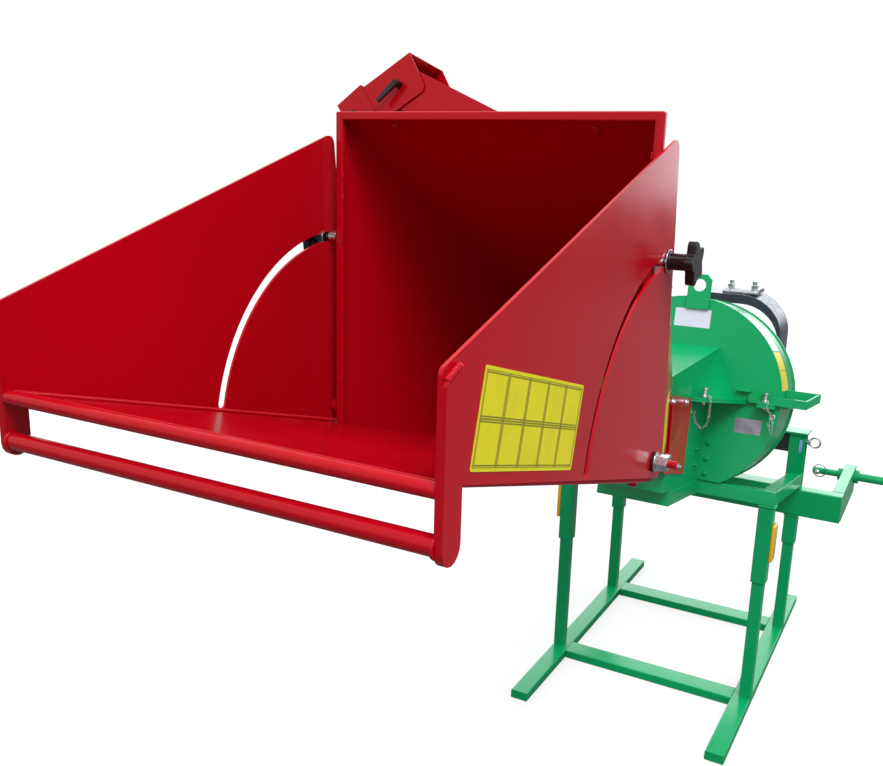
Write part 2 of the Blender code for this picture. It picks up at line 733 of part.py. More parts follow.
def build_infeed_box(disc_plane):
    """The open green trough that takes wood from the funnel's neck to the throat."""
    floor = RING_TOP + GAP
    box = cuboid((-BOX_HALF, BOX_FRONT_Y, floor), (BOX_HALF, -0.0006, -GAP))
    inner = BOX_HALF - BOX_WALL
    cut(box, cuboid((-inner, BOX_FRONT_Y + BOX_WALL, floor + BOX_WALL), (inner, 0.01, 0.01)))
    cut(box, cuboid((-inner, BOX_FRONT_Y - 0.01, -0.140), (inner, BOX_FRONT_Y + 0.01, 0.01)))
    for side in (1, -1):
        outline = [(x * side, y) for x, y in flange_outline(inner + 0.001)]
        join(box, prism(outline, "Z", -0.0063, -GAP))
    pin_spot = (*LOCK_PINS["lock_pin_hood"], 0)
    cut(box, rod("Z", LOCK_PIN_RADIUS + 0.0025, -0.02, 0.01, pin_spot, 16))
    seat(box, "infeed_box", green_paint("infeed_box"), disc_plane, (0, BOX_FRONT_Y, floor))


def build_lock_pins(cover):
    """Two quick-release pins that lock the cover to the lower half."""
    for name, (x, y) in LOCK_PINS.items():
        profile = [
            (0, -0.026),
            (LOCK_PIN_RADIUS - 0.0015, -0.026),
            (LOCK_PIN_RADIUS, -0.023),
            (LOCK_PIN_RADIUS, 0.0065),
            (0.0095, 0.0065),
            (0.0095, 0.0105),
            (0.0060, 0.0125),
            (0.0060, 0.0255),
            (0.0088, 0.0275),
            (0.0088, 0.0315),
            (0, 0.0315),
        ]
        pin = lathe(profile, "Z", (x, y, 0), sides=14)
        seat(pin, name, zinc(name), cover, (x, y, 0), smooth=True)


def build_rotor(disc_plane):
    """The chipping disc with its knives, paddles and splined drive shaft."""
    rotor = empty("rotor_spin", disc_plane, (DISC_AXIS_X, 0, 0))
    front, back = 0.0575, 0.0775
    bore = SHAFT_RADIUS + 0.0004
    hub_radius, hub_end = 0.050, 0.125
    profile = [
        (bore, front),
        (ROTOR_RADIUS, front),
        (ROTOR_RADIUS, back),
        (hub_radius, back),
        (hub_radius, hub_end),
        (bore, hub_end),
        (bore, front),
    ]
    disc = lathe(profile, "Y", (0, 0, 0), 64)
    for quarter in range(4):
        turn = Matrix.Rotation(radians(45 + 90 * quarter), 4, "Y")
        paddle = cuboid((-0.005, back - 0.001, 0.075), (0.005, 0.192, 0.250))
        paddle.data.transform(turn)
        join(disc, paddle)
        corners = [(0.001, 0.175), (0.060, 0.175), (0.001, 0.235)]
        brace = prism(corners, "Y", back - 0.001, back + 0.007)
        brace.data.transform(turn)
        join(disc, brace)
    for half_turn in range(2):
        turn = Matrix.Rotation(radians(180 * half_turn), 4, "Y")
        window = cuboid((0.060, front - 0.01, -0.034), (0.216, back + 0.01, -0.012))
        window.data.transform(turn)
        cut(disc, window)
    seat(disc, "rotor_disc", bare_steel("rotor_disc"), rotor, smooth=True)

    for half_turn in range(2):
        turn = Matrix.Rotation(radians(180 * half_turn), 4, "Y")
        seat_y, face_y = front - 0.0005, front - 0.0110
        section = [(seat_y, 0.052), (face_y, 0.052), (face_y, -0.004), (seat_y, -0.011)]
        knife = prism(section, "X", 0.064, 0.212)
        for spot in (0.095, 0.181):
            cut(knife, rod("Y", 0.006, 0.03, 0.07, (spot, 0, 0.028), 12))
        knife.data.transform(turn)
        name = "knife_" + "ab"[half_turn]
        seat(knife, name, bare_steel(name), rotor)

    shaft_profile = [
        (0, 0.050),
        (SHAFT_RADIUS - 0.002, 0.050),
        (SHAFT_RADIUS, 0.052),
        (SHAFT_RADIUS, 0.405),
        (0.0145, 0.408),
        (SHAFT_RADIUS, 0.414),
        (SHAFT_RADIUS, 0.444),
        (0.0145, 0.448),
        (0.0145, 0.454),
        (SHAFT_RADIUS, 0.458),
        (SHAFT_RADIUS, 0.484),
        (0.0155, 0.487),
        (0, 0.487),
    ]
    shaft = lathe(shaft_profile, "Y", (0, 0, 0), 32)
    for groove in range(6):
        slot = cuboid((0.0148, 0.411, -0.0042), (0.030, 0.50, 0.0042))
        slot.data.transform(Matrix.Rotation(radians(60 * groove), 4, "Y"))
        cut(shaft, slot)
    seat(shaft, "rotor_shaft", bare_steel("rotor_shaft"), rotor, smooth=True)


def build_bearings(disc_plane):
    """A gusseted bracket behind the drum with two pillow-block bearings."""
    back = DRUM_DEPTH + GAP
    side = [(back, -0.200), (back, -0.0625), (0.398, -0.0625), (0.398, -0.090)]
    bracket = prism(side, "X", DISC_AXIS_X - 0.090, DISC_AXIS_X + 0.090)
    hollow = [(back + 0.008, -0.230), (back + 0.008, -0.0705), (0.45, -0.0705), (0.45, -0.230)]
    cut(bracket, prism(hollow, "X", DISC_AXIS_X - 0.082, DISC_AXIS_X + 0.082))
    bracket_origin = (DISC_AXIS_X, back, -0.0625)
    seat(bracket, "bearing_bracket", green_paint("bearing_bracket"), disc_plane, bracket_origin)
    for name, start in (("bearing_front", 0.232), ("bearing_rear", 0.345)):
        base = -0.0625 + GAP
        outline = [(-0.080, base), (0.080, base), (0.080, base + 0.016), (0.046, base + 0.020)]
        outline += arc((0, 0), 0.050, radians(-22), radians(202), 20)
        outline += [(-0.046, base + 0.020), (-0.080, base + 0.016)]
        outline = [(x + DISC_AXIS_X, z) for x, z in outline]
        block = prism(outline, "Y", start, start + 0.044)
        cut(block, rod("Y", SHAFT_RADIUS + 0.0006, start - 0.01, start + 0.06, (DISC_AXIS_X, 0, 0), 32))
        seat(block, name, black(name), disc_plane, (DISC_AXIS_X, start, 0), smooth=True)


def build_throat(disc_plane):
    """The fixed bed knife beside the throat and the guide bar opposite it."""
    low, high = THROAT_Z
    face = DRUM_WALL + GAP
    section = [
        (-0.128, face),
        (-THROAT_HALF, face),
        (-THROAT_HALF, 0.0435),
        (-0.094, 0.0435),
        (-0.128, 0.030),
    ]
    knife = prism(section, "Z", low + 0.004, high)
    seat(knife, "bed_knife", bare_steel("bed_knife"), disc_plane, (-THROAT_HALF, face, low))
    guide = cuboid((THROAT_HALF, face, low + 0.004), (THROAT_HALF + 0.020, 0.0400, high))
    seat(guide, "throat_guide", bare_steel("throat_guide"), disc_plane, (THROAT_HALF, face, low))


def guard_outline(half, top, corner, foot):
    """An inverted U with round shoulders, as points from the right foot to the left foot."""
    right = arc((DISC_AXIS_X + half - corner, top - corner), corner, 0, pi / 2, 10)
    left = arc((DISC_AXIS_X - half + corner, top - corner), corner, pi / 2, pi, 10)
    return [(DISC_AXIS_X + half, foot), *right, *left, (DISC_AXIS_X - half, foot)]


def build_guard(machine):
    """The shield over the drive shaft: a bent sheet with an inward lip at its front edge."""
    foot = POST_TOP + GAP
    front, back = 0.430, 0.565
    guard = prism(guard_outline(0.180, GUARD_TOP, 0.125, foot), "Y", front, back)
    sheet_hollow = guard_outline(0.176, GUARD_TOP - 0.004, 0.121, foot - 0.01)
    cut(guard, prism(sheet_hollow, "Y", front + 0.004, back + 0.01))
    mouth = guard_outline(0.172, GUARD_TOP - 0.028, 0.118, foot - 0.01)
    cut(guard, prism(mouth, "Y", front - 0.01, back + 0.01))
    seat(guard, "pto_guard", black("pto_guard"), machine, (DISC_AXIS_X, front, foot))

    base = GUARD_TOP + 0.0005
    side_view = [
        (0.450, base),
        (0.560, base),
        (0.560, base + 0.0055),
        (0.540, base + 0.0145),
        (0.470, base + 0.0145),
        (0.450, base + 0.0055),
    ]
    bracket = prism(side_view, "X", 0.004, 0.110)
    for spot in (0.022, 0.092):
        join(bracket, rod("Z", 0.007, base + 0.0105, base + 0.0375, (spot, 0.490, 0), 12))
        join(bracket, rod("Z", 0.0125, base + 0.0135, base + 0.0245, (spot, 0.490, 0), 6))
    seat(bracket, "guard_bracket", zinc("guard_bracket"), machine, (0.057, 0.505, base))


def frustum(front_half, front_z, back_half, back_z, front_y, back_y):
    """A four-sided taper between two upright rectangles."""
    near = upright_end(-front_half, front_half, front_y, *front_z)
    return hull_box(near, upright_end(-back_half, back_half, back_y, *back_z))


def build_funnel(machine):
    """The tapered feed funnel with the two side plates that bolt it to the infeed box."""
    front = RIM_FRONT_Y + RIM_BAR + GAP
    mouth_half = RIM_HALF - 0.004
    mouth_z = (RIM_BOTTOM - 0.004, RIM_TOP - 0.004)
    slope = (mouth_half - NECK_HALF) / (front - NECK_Y)
    funnel = frustum(mouth_half, mouth_z, NECK_HALF, NECK_Z, front, NECK_Y)
    reach = 0.02
    out_half = mouth_half - SHEET - slope * reach
    in_half = NECK_HALF - SHEET + slope * reach
    top_slope = (mouth_z[1] - NECK_Z[1]) / (front - NECK_Y)
    low_slope = (mouth_z[0] - NECK_Z[0]) / (front - NECK_Y)
    out_z = (mouth_z[0] + SHEET - low_slope * reach, mouth_z[1] - SHEET - top_slope * reach)
    in_z = (NECK_Z[0] + SHEET + low_slope * reach, NECK_Z[1] - SHEET + top_slope * reach)
    cut(funnel, frustum(out_half, out_z, in_half, in_z, front - reach, NECK_Y + reach))
    floor_front = -1.186
    front_half = mouth_half - SHEET - 0.0005
    back_half = front_half + slope * (floor_front - front)
    plan = [(-front_half, front - 0.01), (front_half, front - 0.01)]
    plan += [(back_half, floor_front), (-back_half, floor_front)]
    cut(funnel, prism(plan, "Z", 0.9, 1.040))
    cut(funnel, cuboid((-0.4, -1.3, 0.9), (0.4, -1.1, RIM_BOTTOM - 0.0037)))
    lip_y = (NECK_Y - 0.004, -0.325)
    lip = [(lip_y[0], 0.8195), (lip_y[1], 0.8005), (lip_y[1], 0.8035), (lip_y[0], 0.8225)]
    join(funnel, prism(lip, "X", -0.0873, 0.0873))
    plate_y = (-0.195, -0.390, -0.405)
    plate = [(plate_y[0], 0.707), (plate_y[0], 0.909), (plate_y[1], 0.9585)]
    plate += [(plate_y[2], 0.955), (plate_y[2], 0.707)]
    plate_x = BOX_HALF + GAP
    for side in (1, -1):
        inner, outer = sorted((side * plate_x, side * (plate_x + 0.004)))
        join(funnel, prism(plate, "X", inner, outer))
    seat(funnel, "funnel", red_paint("funnel"), machine, (0, front, RIM_BOTTOM))

    outline = [
        (-RIM_HALF, RIM_BOTTOM),
        (-RIM_HALF + RIM_BAR, RIM_BOTTOM),
        (-RIM_HALF + RIM_BAR, RIM_TOP - RIM_BAR),
        (RIM_HALF - RIM_BAR, RIM_TOP - RIM_BAR),
        (RIM_HALF - RIM_BAR, RIM_BOTTOM),
        (RIM_HALF, RIM_BOTTOM),
        (RIM_HALF, RIM_TOP),
        (-RIM_HALF, RIM_TOP),
    ]
    rim = prism(outline, "Y", RIM_FRONT_Y, RIM_FRONT_Y + RIM_BAR)
    seat(rim, "funnel_rim", red_paint("funnel_rim"), machine, (0, RIM_FRONT_Y, RIM_TOP))


def wing_outline():
    """The side wing in (y, z), with its rounded corners and its waisted rear edge."""
    front_corner = arc((-1.8975, 1.3205), 0.0085, radians(180), radians(107), 3)
    top = front_corner + [(-1.250, 1.531)]
    upper_corner = arc((-1.2455, 1.516), 0.0155, radians(107), radians(10), 4)
    rear = [(-1.214, 1.392), (-1.206, 1.302), (-1.190, 1.182), (-1.183, 1.058)]
    lower_corner = arc((-1.203, 1.046), 0.020, radians(0), radians(-106), 4)
    bottom = [(WING_FRONT_Y, 1.2215)]
    return top + upper_corner + rear + lower_corner + bottom


def arc_slot(start, sweep, radius, width):
    """A curved slot about the tray's pivot with round ends."""
    centre = (PIVOT_Y, PIVOT_Z)
    end = start + sweep
    outer = arc(centre, radius + width / 2, start, end, 30)
    inner = arc(centre, radius - width / 2, end, start, 30)
    tip = (centre[0] + radius * cos(end), centre[1] + radius * sin(end))
    root = (centre[0] + radius * cos(start), centre[1] + radius * sin(start))
    far_cap = arc(tip, width / 2, end, end + pi, 6)[1:-1]
    near_cap = arc(root, width / 2, start + pi, start + 2 * pi, 6)[1:-1]
    return outer + far_cap + inner + near_cap


def build_tray(machine):
    """The folding tray: two wings with arc slots, a sloping floor, a rod and a bumper tube."""
    tray = empty("tray_fold", machine, (0, PIVOT_Y, PIVOT_Z))
    pivot = Vector((0, PIVOT_Y, PIVOT_Z))

    outer = WING_INNER + WING_THICK
    wing = prism(wing_outline(), "X", WING_INNER, outer)
    cut(wing, prism(arc_slot(SLOT_START, SLOT_SWEEP, SLOT_RADIUS, SLOT_WIDTH), "X", 0.28, 0.31))
    cut(wing, rod("X", 0.0086, 0.28, 0.31, (0, PIVOT_Y, PIVOT_Z)))
    half_bar = BUMPER_BAR_WIDTH / 2
    bar_y = WING_FRONT_Y + half_bar
    bar = arc((bar_y, BUMPER_Z - 0.003), half_bar, pi, 2 * pi, 8)
    bar += [(bar_y + half_bar, 1.3265), (WING_FRONT_Y + 0.004, 1.3165), (WING_FRONT_Y, 1.3100)]
    join(wing, prism(bar, "X", WING_INNER, WING_INNER + BUMPER_BAR_FACE))
    wing.data.transform(Matrix.Translation(-pivot))
    seat(wing, "tray_wing_right", red_paint("tray_wing_right"), tray)
    mirrored(wing, "tray_wing_left")

    front_y, step_y, back_y = -1.897, -1.2505, -1.193
    bend_y, floor_z = -1.233, 1.0285
    tongue_front, tongue_back = RIM_HALF - RIM_BAR - 0.001, 0.2605
    plan = [
        (-WING_INNER + GAP, front_y),
        (WING_INNER - GAP, front_y),
        (WING_INNER - GAP, step_y),
        (tongue_front, step_y),
        (tongue_back, back_y),
        (-tongue_back, back_y),
        (-tongue_front, step_y),
        (-WING_INNER + GAP, step_y),
    ]
    plan = [(x, (y - bend_y) / cos(FLOOR_FALL)) for x, y in plan]
    floor = prism(plan, "Z", -SHEET, 0)
    front_rod = rod("X", 0.0085, -WING_INNER + GAP, WING_INNER - GAP, (0, plan[0][1], -0.0050), 16)
    join(floor, front_rod)
    floor.data.transform(Matrix.Rotation(-FLOOR_FALL, 4, "X"))
    floor.data.transform(Matrix.Translation(Vector((0, bend_y, floor_z)) - pivot))
    seat(floor, "tray_floor", red_paint("tray_floor"), tray)

    bumper_centre = (0, WING_FRONT_Y + 0.009, BUMPER_Z)
    bumper = rod("X", 0.0108, -WING_INNER + GAP, WING_INNER - GAP, bumper_centre, 20)
    bumper.data.transform(Matrix.Translation(-pivot))
    seat(bumper, "tray_bumper", red_paint("tray_bumper"), tray, smooth=True)


def star_outline(radius, wave, lobes):
    """The wavy outline of a star knob, with one lobe towards -Y."""
    steps = 12 * lobes
    star = []
    for step in range(steps):
        angle = pi + 2 * pi * step / steps
        reach = radius + wave * cos(lobes * (angle - pi))
        star.append((reach * cos(angle), reach * sin(angle)))
    return star


def build_tray_fixings(machine):
    """Pivot bolts, slot studs and star knobs on both sides of the funnel's rim."""
    wing_in = WING_INNER - GAP
    wing_out = WING_INNER + WING_THICK + GAP
    start = RIM_HALF + GAP
    pivot_profile = [
        (0, start),
        (0.015, start),
        (0.015, wing_in),
        (0.008, wing_in),
        (0.008, wing_out),
        (0.021, wing_out),
        (0.021, wing_out + 0.003),
        (0.0165, wing_out + 0.003),
        (0.0165, wing_out + 0.006),
        (0.0125, wing_out + 0.006),
        (0.0125, wing_out + 0.016),
        (0.008, wing_out + 0.016),
        (0.008, 0.332),
        (0.006, 0.334),
        (0, 0.334),
    ]
    bolt = lathe(pivot_profile, "X", (0, PIVOT_Y, PIVOT_Z), 18)
    bolt_origin = (start, PIVOT_Y, PIVOT_Z)
    seat(bolt, "pivot_bolt_right", zinc("pivot_bolt_right"), machine, bolt_origin, smooth=True)
    mirrored(bolt, "pivot_bolt_left")

    stud_y = PIVOT_Y + SLOT_RADIUS * cos(STUD_ANGLE)
    stud_z = PIVOT_Z + SLOT_RADIUS * sin(STUD_ANGLE)
    stud_end = 0.328
    stud_profile = [
        (0, start),
        (0.009, start),
        (0.009, wing_in),
        (STUD_RADIUS, wing_in),
        (STUD_RADIUS, stud_end),
        (0, stud_end),
    ]
    stud = lathe(stud_profile, "X", (0, stud_y, stud_z), 14)
    stud_origin = (start, stud_y, stud_z)
    seat(stud, "slot_stud_right", zinc("slot_stud_right"), machine, stud_origin, smooth=True)
    mirrored(stud, "slot_stud_left")

    bore = STUD_RADIUS + 0.0004
    washer_end, hub_end, star_end = wing_out + 0.003, 0.3290, 0.3405
    hub = [
        (bore, wing_out),
        (0.0165, wing_out),
        (0.0165, washer_end),
        (0.0122, washer_end),
        (0.0122, hub_end),
        (bore, hub_end),
        (bore, wing_out),
    ]
    knob = lathe(hub, "X", (0, 0, 0), 24)
    head = prism(star_outline(0.0272, 0.0052, 5), "X", hub_end - 0.002, star_end)
    cut(head, rod("X", bore, 0.30, stud_end + 0.003, (0, 0, 0), 24))
    join(knob, head)
    knob_origin = (wing_out, stud_y, stud_z)
    knob.data.transform(Matrix.Translation((0, stud_y, stud_z)))
    seat(knob, "star_knob_right", black("star_knob_right"), machine, knob_origin, smooth=True)
    mirrored(knob, "star_knob_left")


def chute_side(inset, overrun):
    """The chute's side view in (x, z): up from the drum, round the bend and out to the left."""
    right = CHUTE_LEFT + CHUTE_DEPTH
    centre = (right - BEND_OUTER, BEND_Z)
    turn = pi / 2 - CHUTE_RISE
    outer = arc(centre, BEND_OUTER - inset, 0, turn, 12)
    inner = arc(centre, BEND_OUTER - CHUTE_DEPTH + inset, turn, 0, 12)
    heading = Vector((-cos(CHUTE_RISE), sin(CHUTE_RISE)))
    run_end = Vector(FLAP_1_PIVOT) + heading * (0.012 + overrun)
    normal = Vector((sin(CHUTE_RISE), cos(CHUTE_RISE)))
    half = CHUTE_DEPTH / 2 - inset
    top_end = run_end + normal * half
    low_end = run_end - normal * half
    base = CHUTE_BASE - overrun
    ends = [tuple(top_end), tuple(low_end)]
    return [(right - inset, base), *outer, *ends, *inner, (CHUTE_LEFT + inset, base)]


def build_chute(cover):
    """The curved discharge duct with its base flange."""
    right = CHUTE_LEFT + CHUTE_DEPTH
    chute = prism(chute_side(0, 0), "Y", 0, DRUM_DEPTH)
    flange_low = (CHUTE_LEFT - CHUTE_FLANGE, -CHUTE_FLANGE, CHUTE_BASE)
    flange_high = (right + CHUTE_FLANGE, DRUM_DEPTH + CHUTE_FLANGE, CHUTE_BASE + 0.004)
    join(chute, cuboid(flange_low, flange_high))
    cut(chute, prism(chute_side(SHEET, 0.03), "Y", SHEET, DRUM_DEPTH - SHEET))
    x, z = FLAP_1_PIVOT
    cut(chute, rod("Y", FLAP_STUD + 0.0008, -0.01, 0.22, (x, 0, z), 14))
    seat(chute, "chute", red_paint("chute"), cover)


def flap_channel(span, roof, depth, inner, corner, front_cut):
    """A deflector: roof and two side plates, in (along, up) from its pivot."""
    rear, front = span
    sheet = FLAP_SHEET
    roof_low = (rear, inner[0] - sheet, roof)
    roof_plate = cuboid(roof_low, (front, inner[1] + sheet, roof + sheet))
    sides = [(rear, roof + sheet / 2), (rear, -depth + corner)]
    sides += arc((rear + corner, -depth + corner), corner, pi, 1.5 * pi, 6)[1:]
    cut_along, cut_up = front_cut
    sides += [(front - cut_along, -depth), (front, -depth + cut_up), (front, roof + sheet / 2)]
    for start in (inner[0] - sheet, inner[1]):
        join(roof_plate, prism(sides, "Y", start, start + sheet))
    return roof_plate


def level_end(half, z, y_low, y_high):
    """The four corners of a level end face, for hull_box."""
    return [(-half, y_low, z), (half, y_low, z), (half, y_high, z), (-half, y_high, z)]


def clamp_lever(name, parent, near_face, swing):
    """A tapered clamp handle on a hub, with its stud through the flap and the duct."""
    lever = rod("Y", 0.012, near_face - 0.032, near_face - GAP, (0, 0, 0), 20)
    join(lever, rod("Y", FLAP_STUD, near_face - 0.01, near_face + 0.011, (0, 0, 0), 14))
    near = level_end(0.009, -0.004, near_face - 0.036, near_face - 0.022)
    far = level_end(0.006, 0.080, near_face - 0.044, near_face - 0.034)
    join(lever, hull_box(near, far))
    lever.data.transform(Matrix.Rotation(swing, 4, "Y"))
    return seat(lever, name, black(name), parent, smooth=True)


def build_deflectors(cover):
    """Two hinged deflectors in line, each clamped by a lever on the near side."""
    x, z = FLAP_1_PIVOT
    turn_1 = pi + FLAP_1_DROP
    axis_1 = empty("deflector_1_pivot", cover, (x, 0, z), (0, -turn_1, 0))
    sheet = FLAP_SHEET
    stud_hole = FLAP_STUD + 0.0006
    near_1, far_1 = -0.004, DRUM_DEPTH + 0.004
    # The frame's X runs down the flap and its Z points to the duct's underside, so it is flipped
    flap_1 = flap_channel((-0.077, 0.190), 0.069, 0.066, (near_1, far_1), 0.026, (0.045, 0.055))
    cut(flap_1, rod("Y", stud_hole, near_1 - 0.01, near_1 + 0.002, (0, 0, 0), 14))
    join(flap_1, rod("Y", FLAP_STUD, DRUM_DEPTH - 0.0025, far_1 + 0.001, (0, 0, 0), 14))
    cut(flap_1, rod("Y", stud_hole, -0.05, 0.26, (FLAP_2_REACH, 0, 0), 14))
    flip = Matrix.Scale(-1, 4, Vector((0, 0, 1)))
    flap_1.data.transform(flip)
    flap_1.data.flip_normals()
    seat(flap_1, "deflector_1", red_paint("deflector_1"), axis_1)
    clamp_lever("clamp_lever_1", axis_1, near_1 - sheet - GAP, radians(75))

    extra_drop = FLAP_1_DROP - FLAP_2_DROP
    axis_2 = empty("deflector_2_pivot", axis_1, (FLAP_2_REACH, 0, 0), (0, extra_drop, 0))
    near_2, far_2 = near_1 - sheet - 0.002, far_1 + sheet + 0.002
    flap_2 = flap_channel((-0.062, 0.046), 0.0755, 0.066, (near_2, far_2), 0.020, (0.020, 0.040))
    cut(flap_2, rod("Y", stud_hole, near_2 - 0.01, near_2 + 0.002, (0, 0, 0), 14))
    join(flap_2, rod("Y", FLAP_STUD, far_2 - 0.0045, far_2 + 0.001, (0, 0, 0), 14))
    flap_2.data.transform(flip)
    flap_2.data.flip_normals()
    seat(flap_2, "deflector_2", red_paint("deflector_2"), axis_2)
    clamp_lever("clamp_lever_2", axis_2, near_2 - sheet - GAP, radians(-40))


def centre_on_origin(machine):
    """Slide the whole machine so that its box is centred over the world's origin."""
    bpy.context.view_layer.update()
    low = Vector((1e9, 1e9))
    high = Vector((-1e9, -1e9))
    for obj in bpy.data.objects:
        if obj.type != "MESH":
            continue
        for vert in obj.data.vertices:
            spot = obj.matrix_world @ vert.co
            low = Vector((min(low.x, spot.x), min(low.y, spot.y)))
            high = Vector((max(high.x, spot.x), max(high.y, spot.y)))
    machine.location = (-(low.x + high.x) / 2, -(low.y + high.y) / 2, 0)
    bpy.context.view_layer.update()


def build():
    clear_scene()
    machine = empty("machine", None)
    disc_plane = empty("disc_plane", machine, (0, 0, DISC_AXIS_Z), (-TILT, 0, 0))
    hinge = empty("cover_hinge", disc_plane, (HINGE_X, 0, 0))
    cover = empty("cover", hinge, (-HINGE_X, 0, 0))
    build_stand(machine)
    build_sleeves(machine)
    build_ring(machine, disc_plane)
    build_hitch(machine)
    build_lower_housing(disc_plane)
    build_infeed_box(disc_plane)
    build_upper_housing(cover)
    build_cover_fittings(cover)
    build_lock_pins(cover)
    build_rotor(disc_plane)
    build_bearings(disc_plane)
    build_throat(disc_plane)
    build_guard(machine)
    build_funnel(machine)
    build_tray(machine)
    build_tray_fixings(machine)
    build_chute(cover)
    build_deflectors(cover)
    centre_on_origin(machine)


build()
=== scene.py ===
# Tractor wood chipper, dressed: paint, fixings, chains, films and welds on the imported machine.
# Units are metres. +Y points to the tractor, -Y is where wood is fed in, and +X is the
# right-hand side seen from the feeding end.
import json
import math

import bpy
from mathutils import Matrix, Vector


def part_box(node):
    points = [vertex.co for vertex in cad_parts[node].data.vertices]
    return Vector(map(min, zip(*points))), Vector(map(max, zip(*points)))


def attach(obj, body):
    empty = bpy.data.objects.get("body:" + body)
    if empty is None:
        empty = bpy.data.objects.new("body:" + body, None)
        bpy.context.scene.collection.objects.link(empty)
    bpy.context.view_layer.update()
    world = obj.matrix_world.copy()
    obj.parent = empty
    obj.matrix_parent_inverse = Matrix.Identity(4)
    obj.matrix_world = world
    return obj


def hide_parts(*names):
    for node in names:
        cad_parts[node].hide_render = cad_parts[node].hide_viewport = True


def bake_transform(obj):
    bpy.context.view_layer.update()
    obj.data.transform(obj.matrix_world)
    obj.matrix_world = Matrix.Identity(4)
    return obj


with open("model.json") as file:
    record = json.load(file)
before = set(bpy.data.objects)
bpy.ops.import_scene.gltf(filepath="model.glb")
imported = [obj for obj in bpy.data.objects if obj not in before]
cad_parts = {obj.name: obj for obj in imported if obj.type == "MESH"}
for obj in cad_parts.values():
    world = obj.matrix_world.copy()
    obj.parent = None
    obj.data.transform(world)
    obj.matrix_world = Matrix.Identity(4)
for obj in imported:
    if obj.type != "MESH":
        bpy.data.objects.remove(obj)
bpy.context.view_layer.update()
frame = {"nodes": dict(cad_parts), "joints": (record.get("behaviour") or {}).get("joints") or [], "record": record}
bpy.ops.object.select_all(action="DESELECT")

# The machine's own axes
# The middle plane lies between the skids. The cutting unit leans back about a line across the
# machine through the middle of the rotor, so its places are given along that leaning frame.
LEAN = math.radians(10)
joints = {joint["name"]: joint for joint in frame["joints"]}
tray_hinge = Vector(joints["tray_fold"]["pos_m"])
rotor_centre = Vector(joints["rotor_spin"]["pos_m"])
middle = Vector((tray_hinge.x, rotor_centre.y, 0.0))
standing = Matrix.Translation(middle)
leaning = Matrix.Translation((middle.x, middle.y, rotor_centre.z)) @ Matrix.Rotation(-LEAN, 4, "X")
SIDES = ((1, "right"), (-1, "left"))

# Quarter turns that lay a piece's own Z axis along the machine or across it
along_y = Matrix.Rotation(math.pi / 2, 4, "X")
along_x = Matrix.Rotation(math.pi / 2, 4, "Y")


def upright_at(spot):
    """A place on the upright part of the machine."""
    return standing @ Matrix.Translation(spot)


def leaning_at(spot):
    """A place on the leaning cutting unit."""
    return leaning @ Matrix.Translation(spot)


def twin(side, spot):
    """A spot on the machine's right, or its twin on the left."""
    return Vector((side * spot[0], spot[1], spot[2]))


# Camera
# It stands ahead of the feeding tray and to its right, a little above the funnel's rim, and
# rolls slightly, as a hand-held camera does.
IMAGE_WIDTH = 883
IMAGE_HEIGHT = 766
FOCAL_PIXELS = 952.743
SENSOR_WIDTH = 36
VIEW_CENTRE = (424.800, 392.828)
LOOK_AZIMUTH = math.radians(29.7076)
LOOK_DOWN = math.radians(14.0794)
CAMERA_ROLL = math.radians(1.32818)
CAMERA_PLACE = Vector((0.677891, -2.602194, 1.504997))

camera_data = bpy.data.cameras.new("camera")
camera_data.sensor_width = SENSOR_WIDTH
camera_data.lens = FOCAL_PIXELS / IMAGE_WIDTH * SENSOR_WIDTH
camera_data.shift_x = (IMAGE_WIDTH / 2 - VIEW_CENTRE[0]) / IMAGE_WIDTH
camera_data.shift_y = (VIEW_CENTRE[1] - IMAGE_HEIGHT / 2) / IMAGE_WIDTH
camera_data.clip_start = 0.05
camera = bpy.data.objects.new("camera", camera_data)
bpy.context.scene.collection.objects.link(camera)
turn = Matrix.Rotation(LOOK_AZIMUTH, 4, "Z") @ Matrix.Rotation(math.pi / 2 - LOOK_DOWN, 4, "X")
roll = Matrix.Rotation(CAMERA_ROLL, 4, "Z")
camera.matrix_world = Matrix.Translation(middle + CAMERA_PLACE) @ turn @ roll
bpy.context.scene.camera = camera
bpy.context.scene.view_settings.view_transform = "Standard"

# Studio
# A pale floor under an overcast sky, which is brighter overhead than at the horizon. One soft
# lamp stands to the right of the camera and a long one lies low behind the machine, where
# gloss paint mirrors it. The background is plain white, also in mirrored rays.
SKY_LOW = 0.50
SKY_HIGH = 1.55
SKY_RISE = 0.8
FLOOR_SIZE = 80.0
FLOOR_Z = -0.0005
FLOOR_WHITE = 0.76
KEY_POWER = 190.0
REAR_POWER = 230.0

world = bpy.data.worlds.new("studio")
world.use_nodes = True
bpy.context.scene.world = world
sky = world.node_tree
sky.nodes.clear()


def add_node(tree, kind, **values):
    """A new shader node with the named inputs set."""
    made = tree.nodes.new(kind)
    for name, value in values.items():
        made.inputs[name.replace("_", " ")].default_value = value
    return made


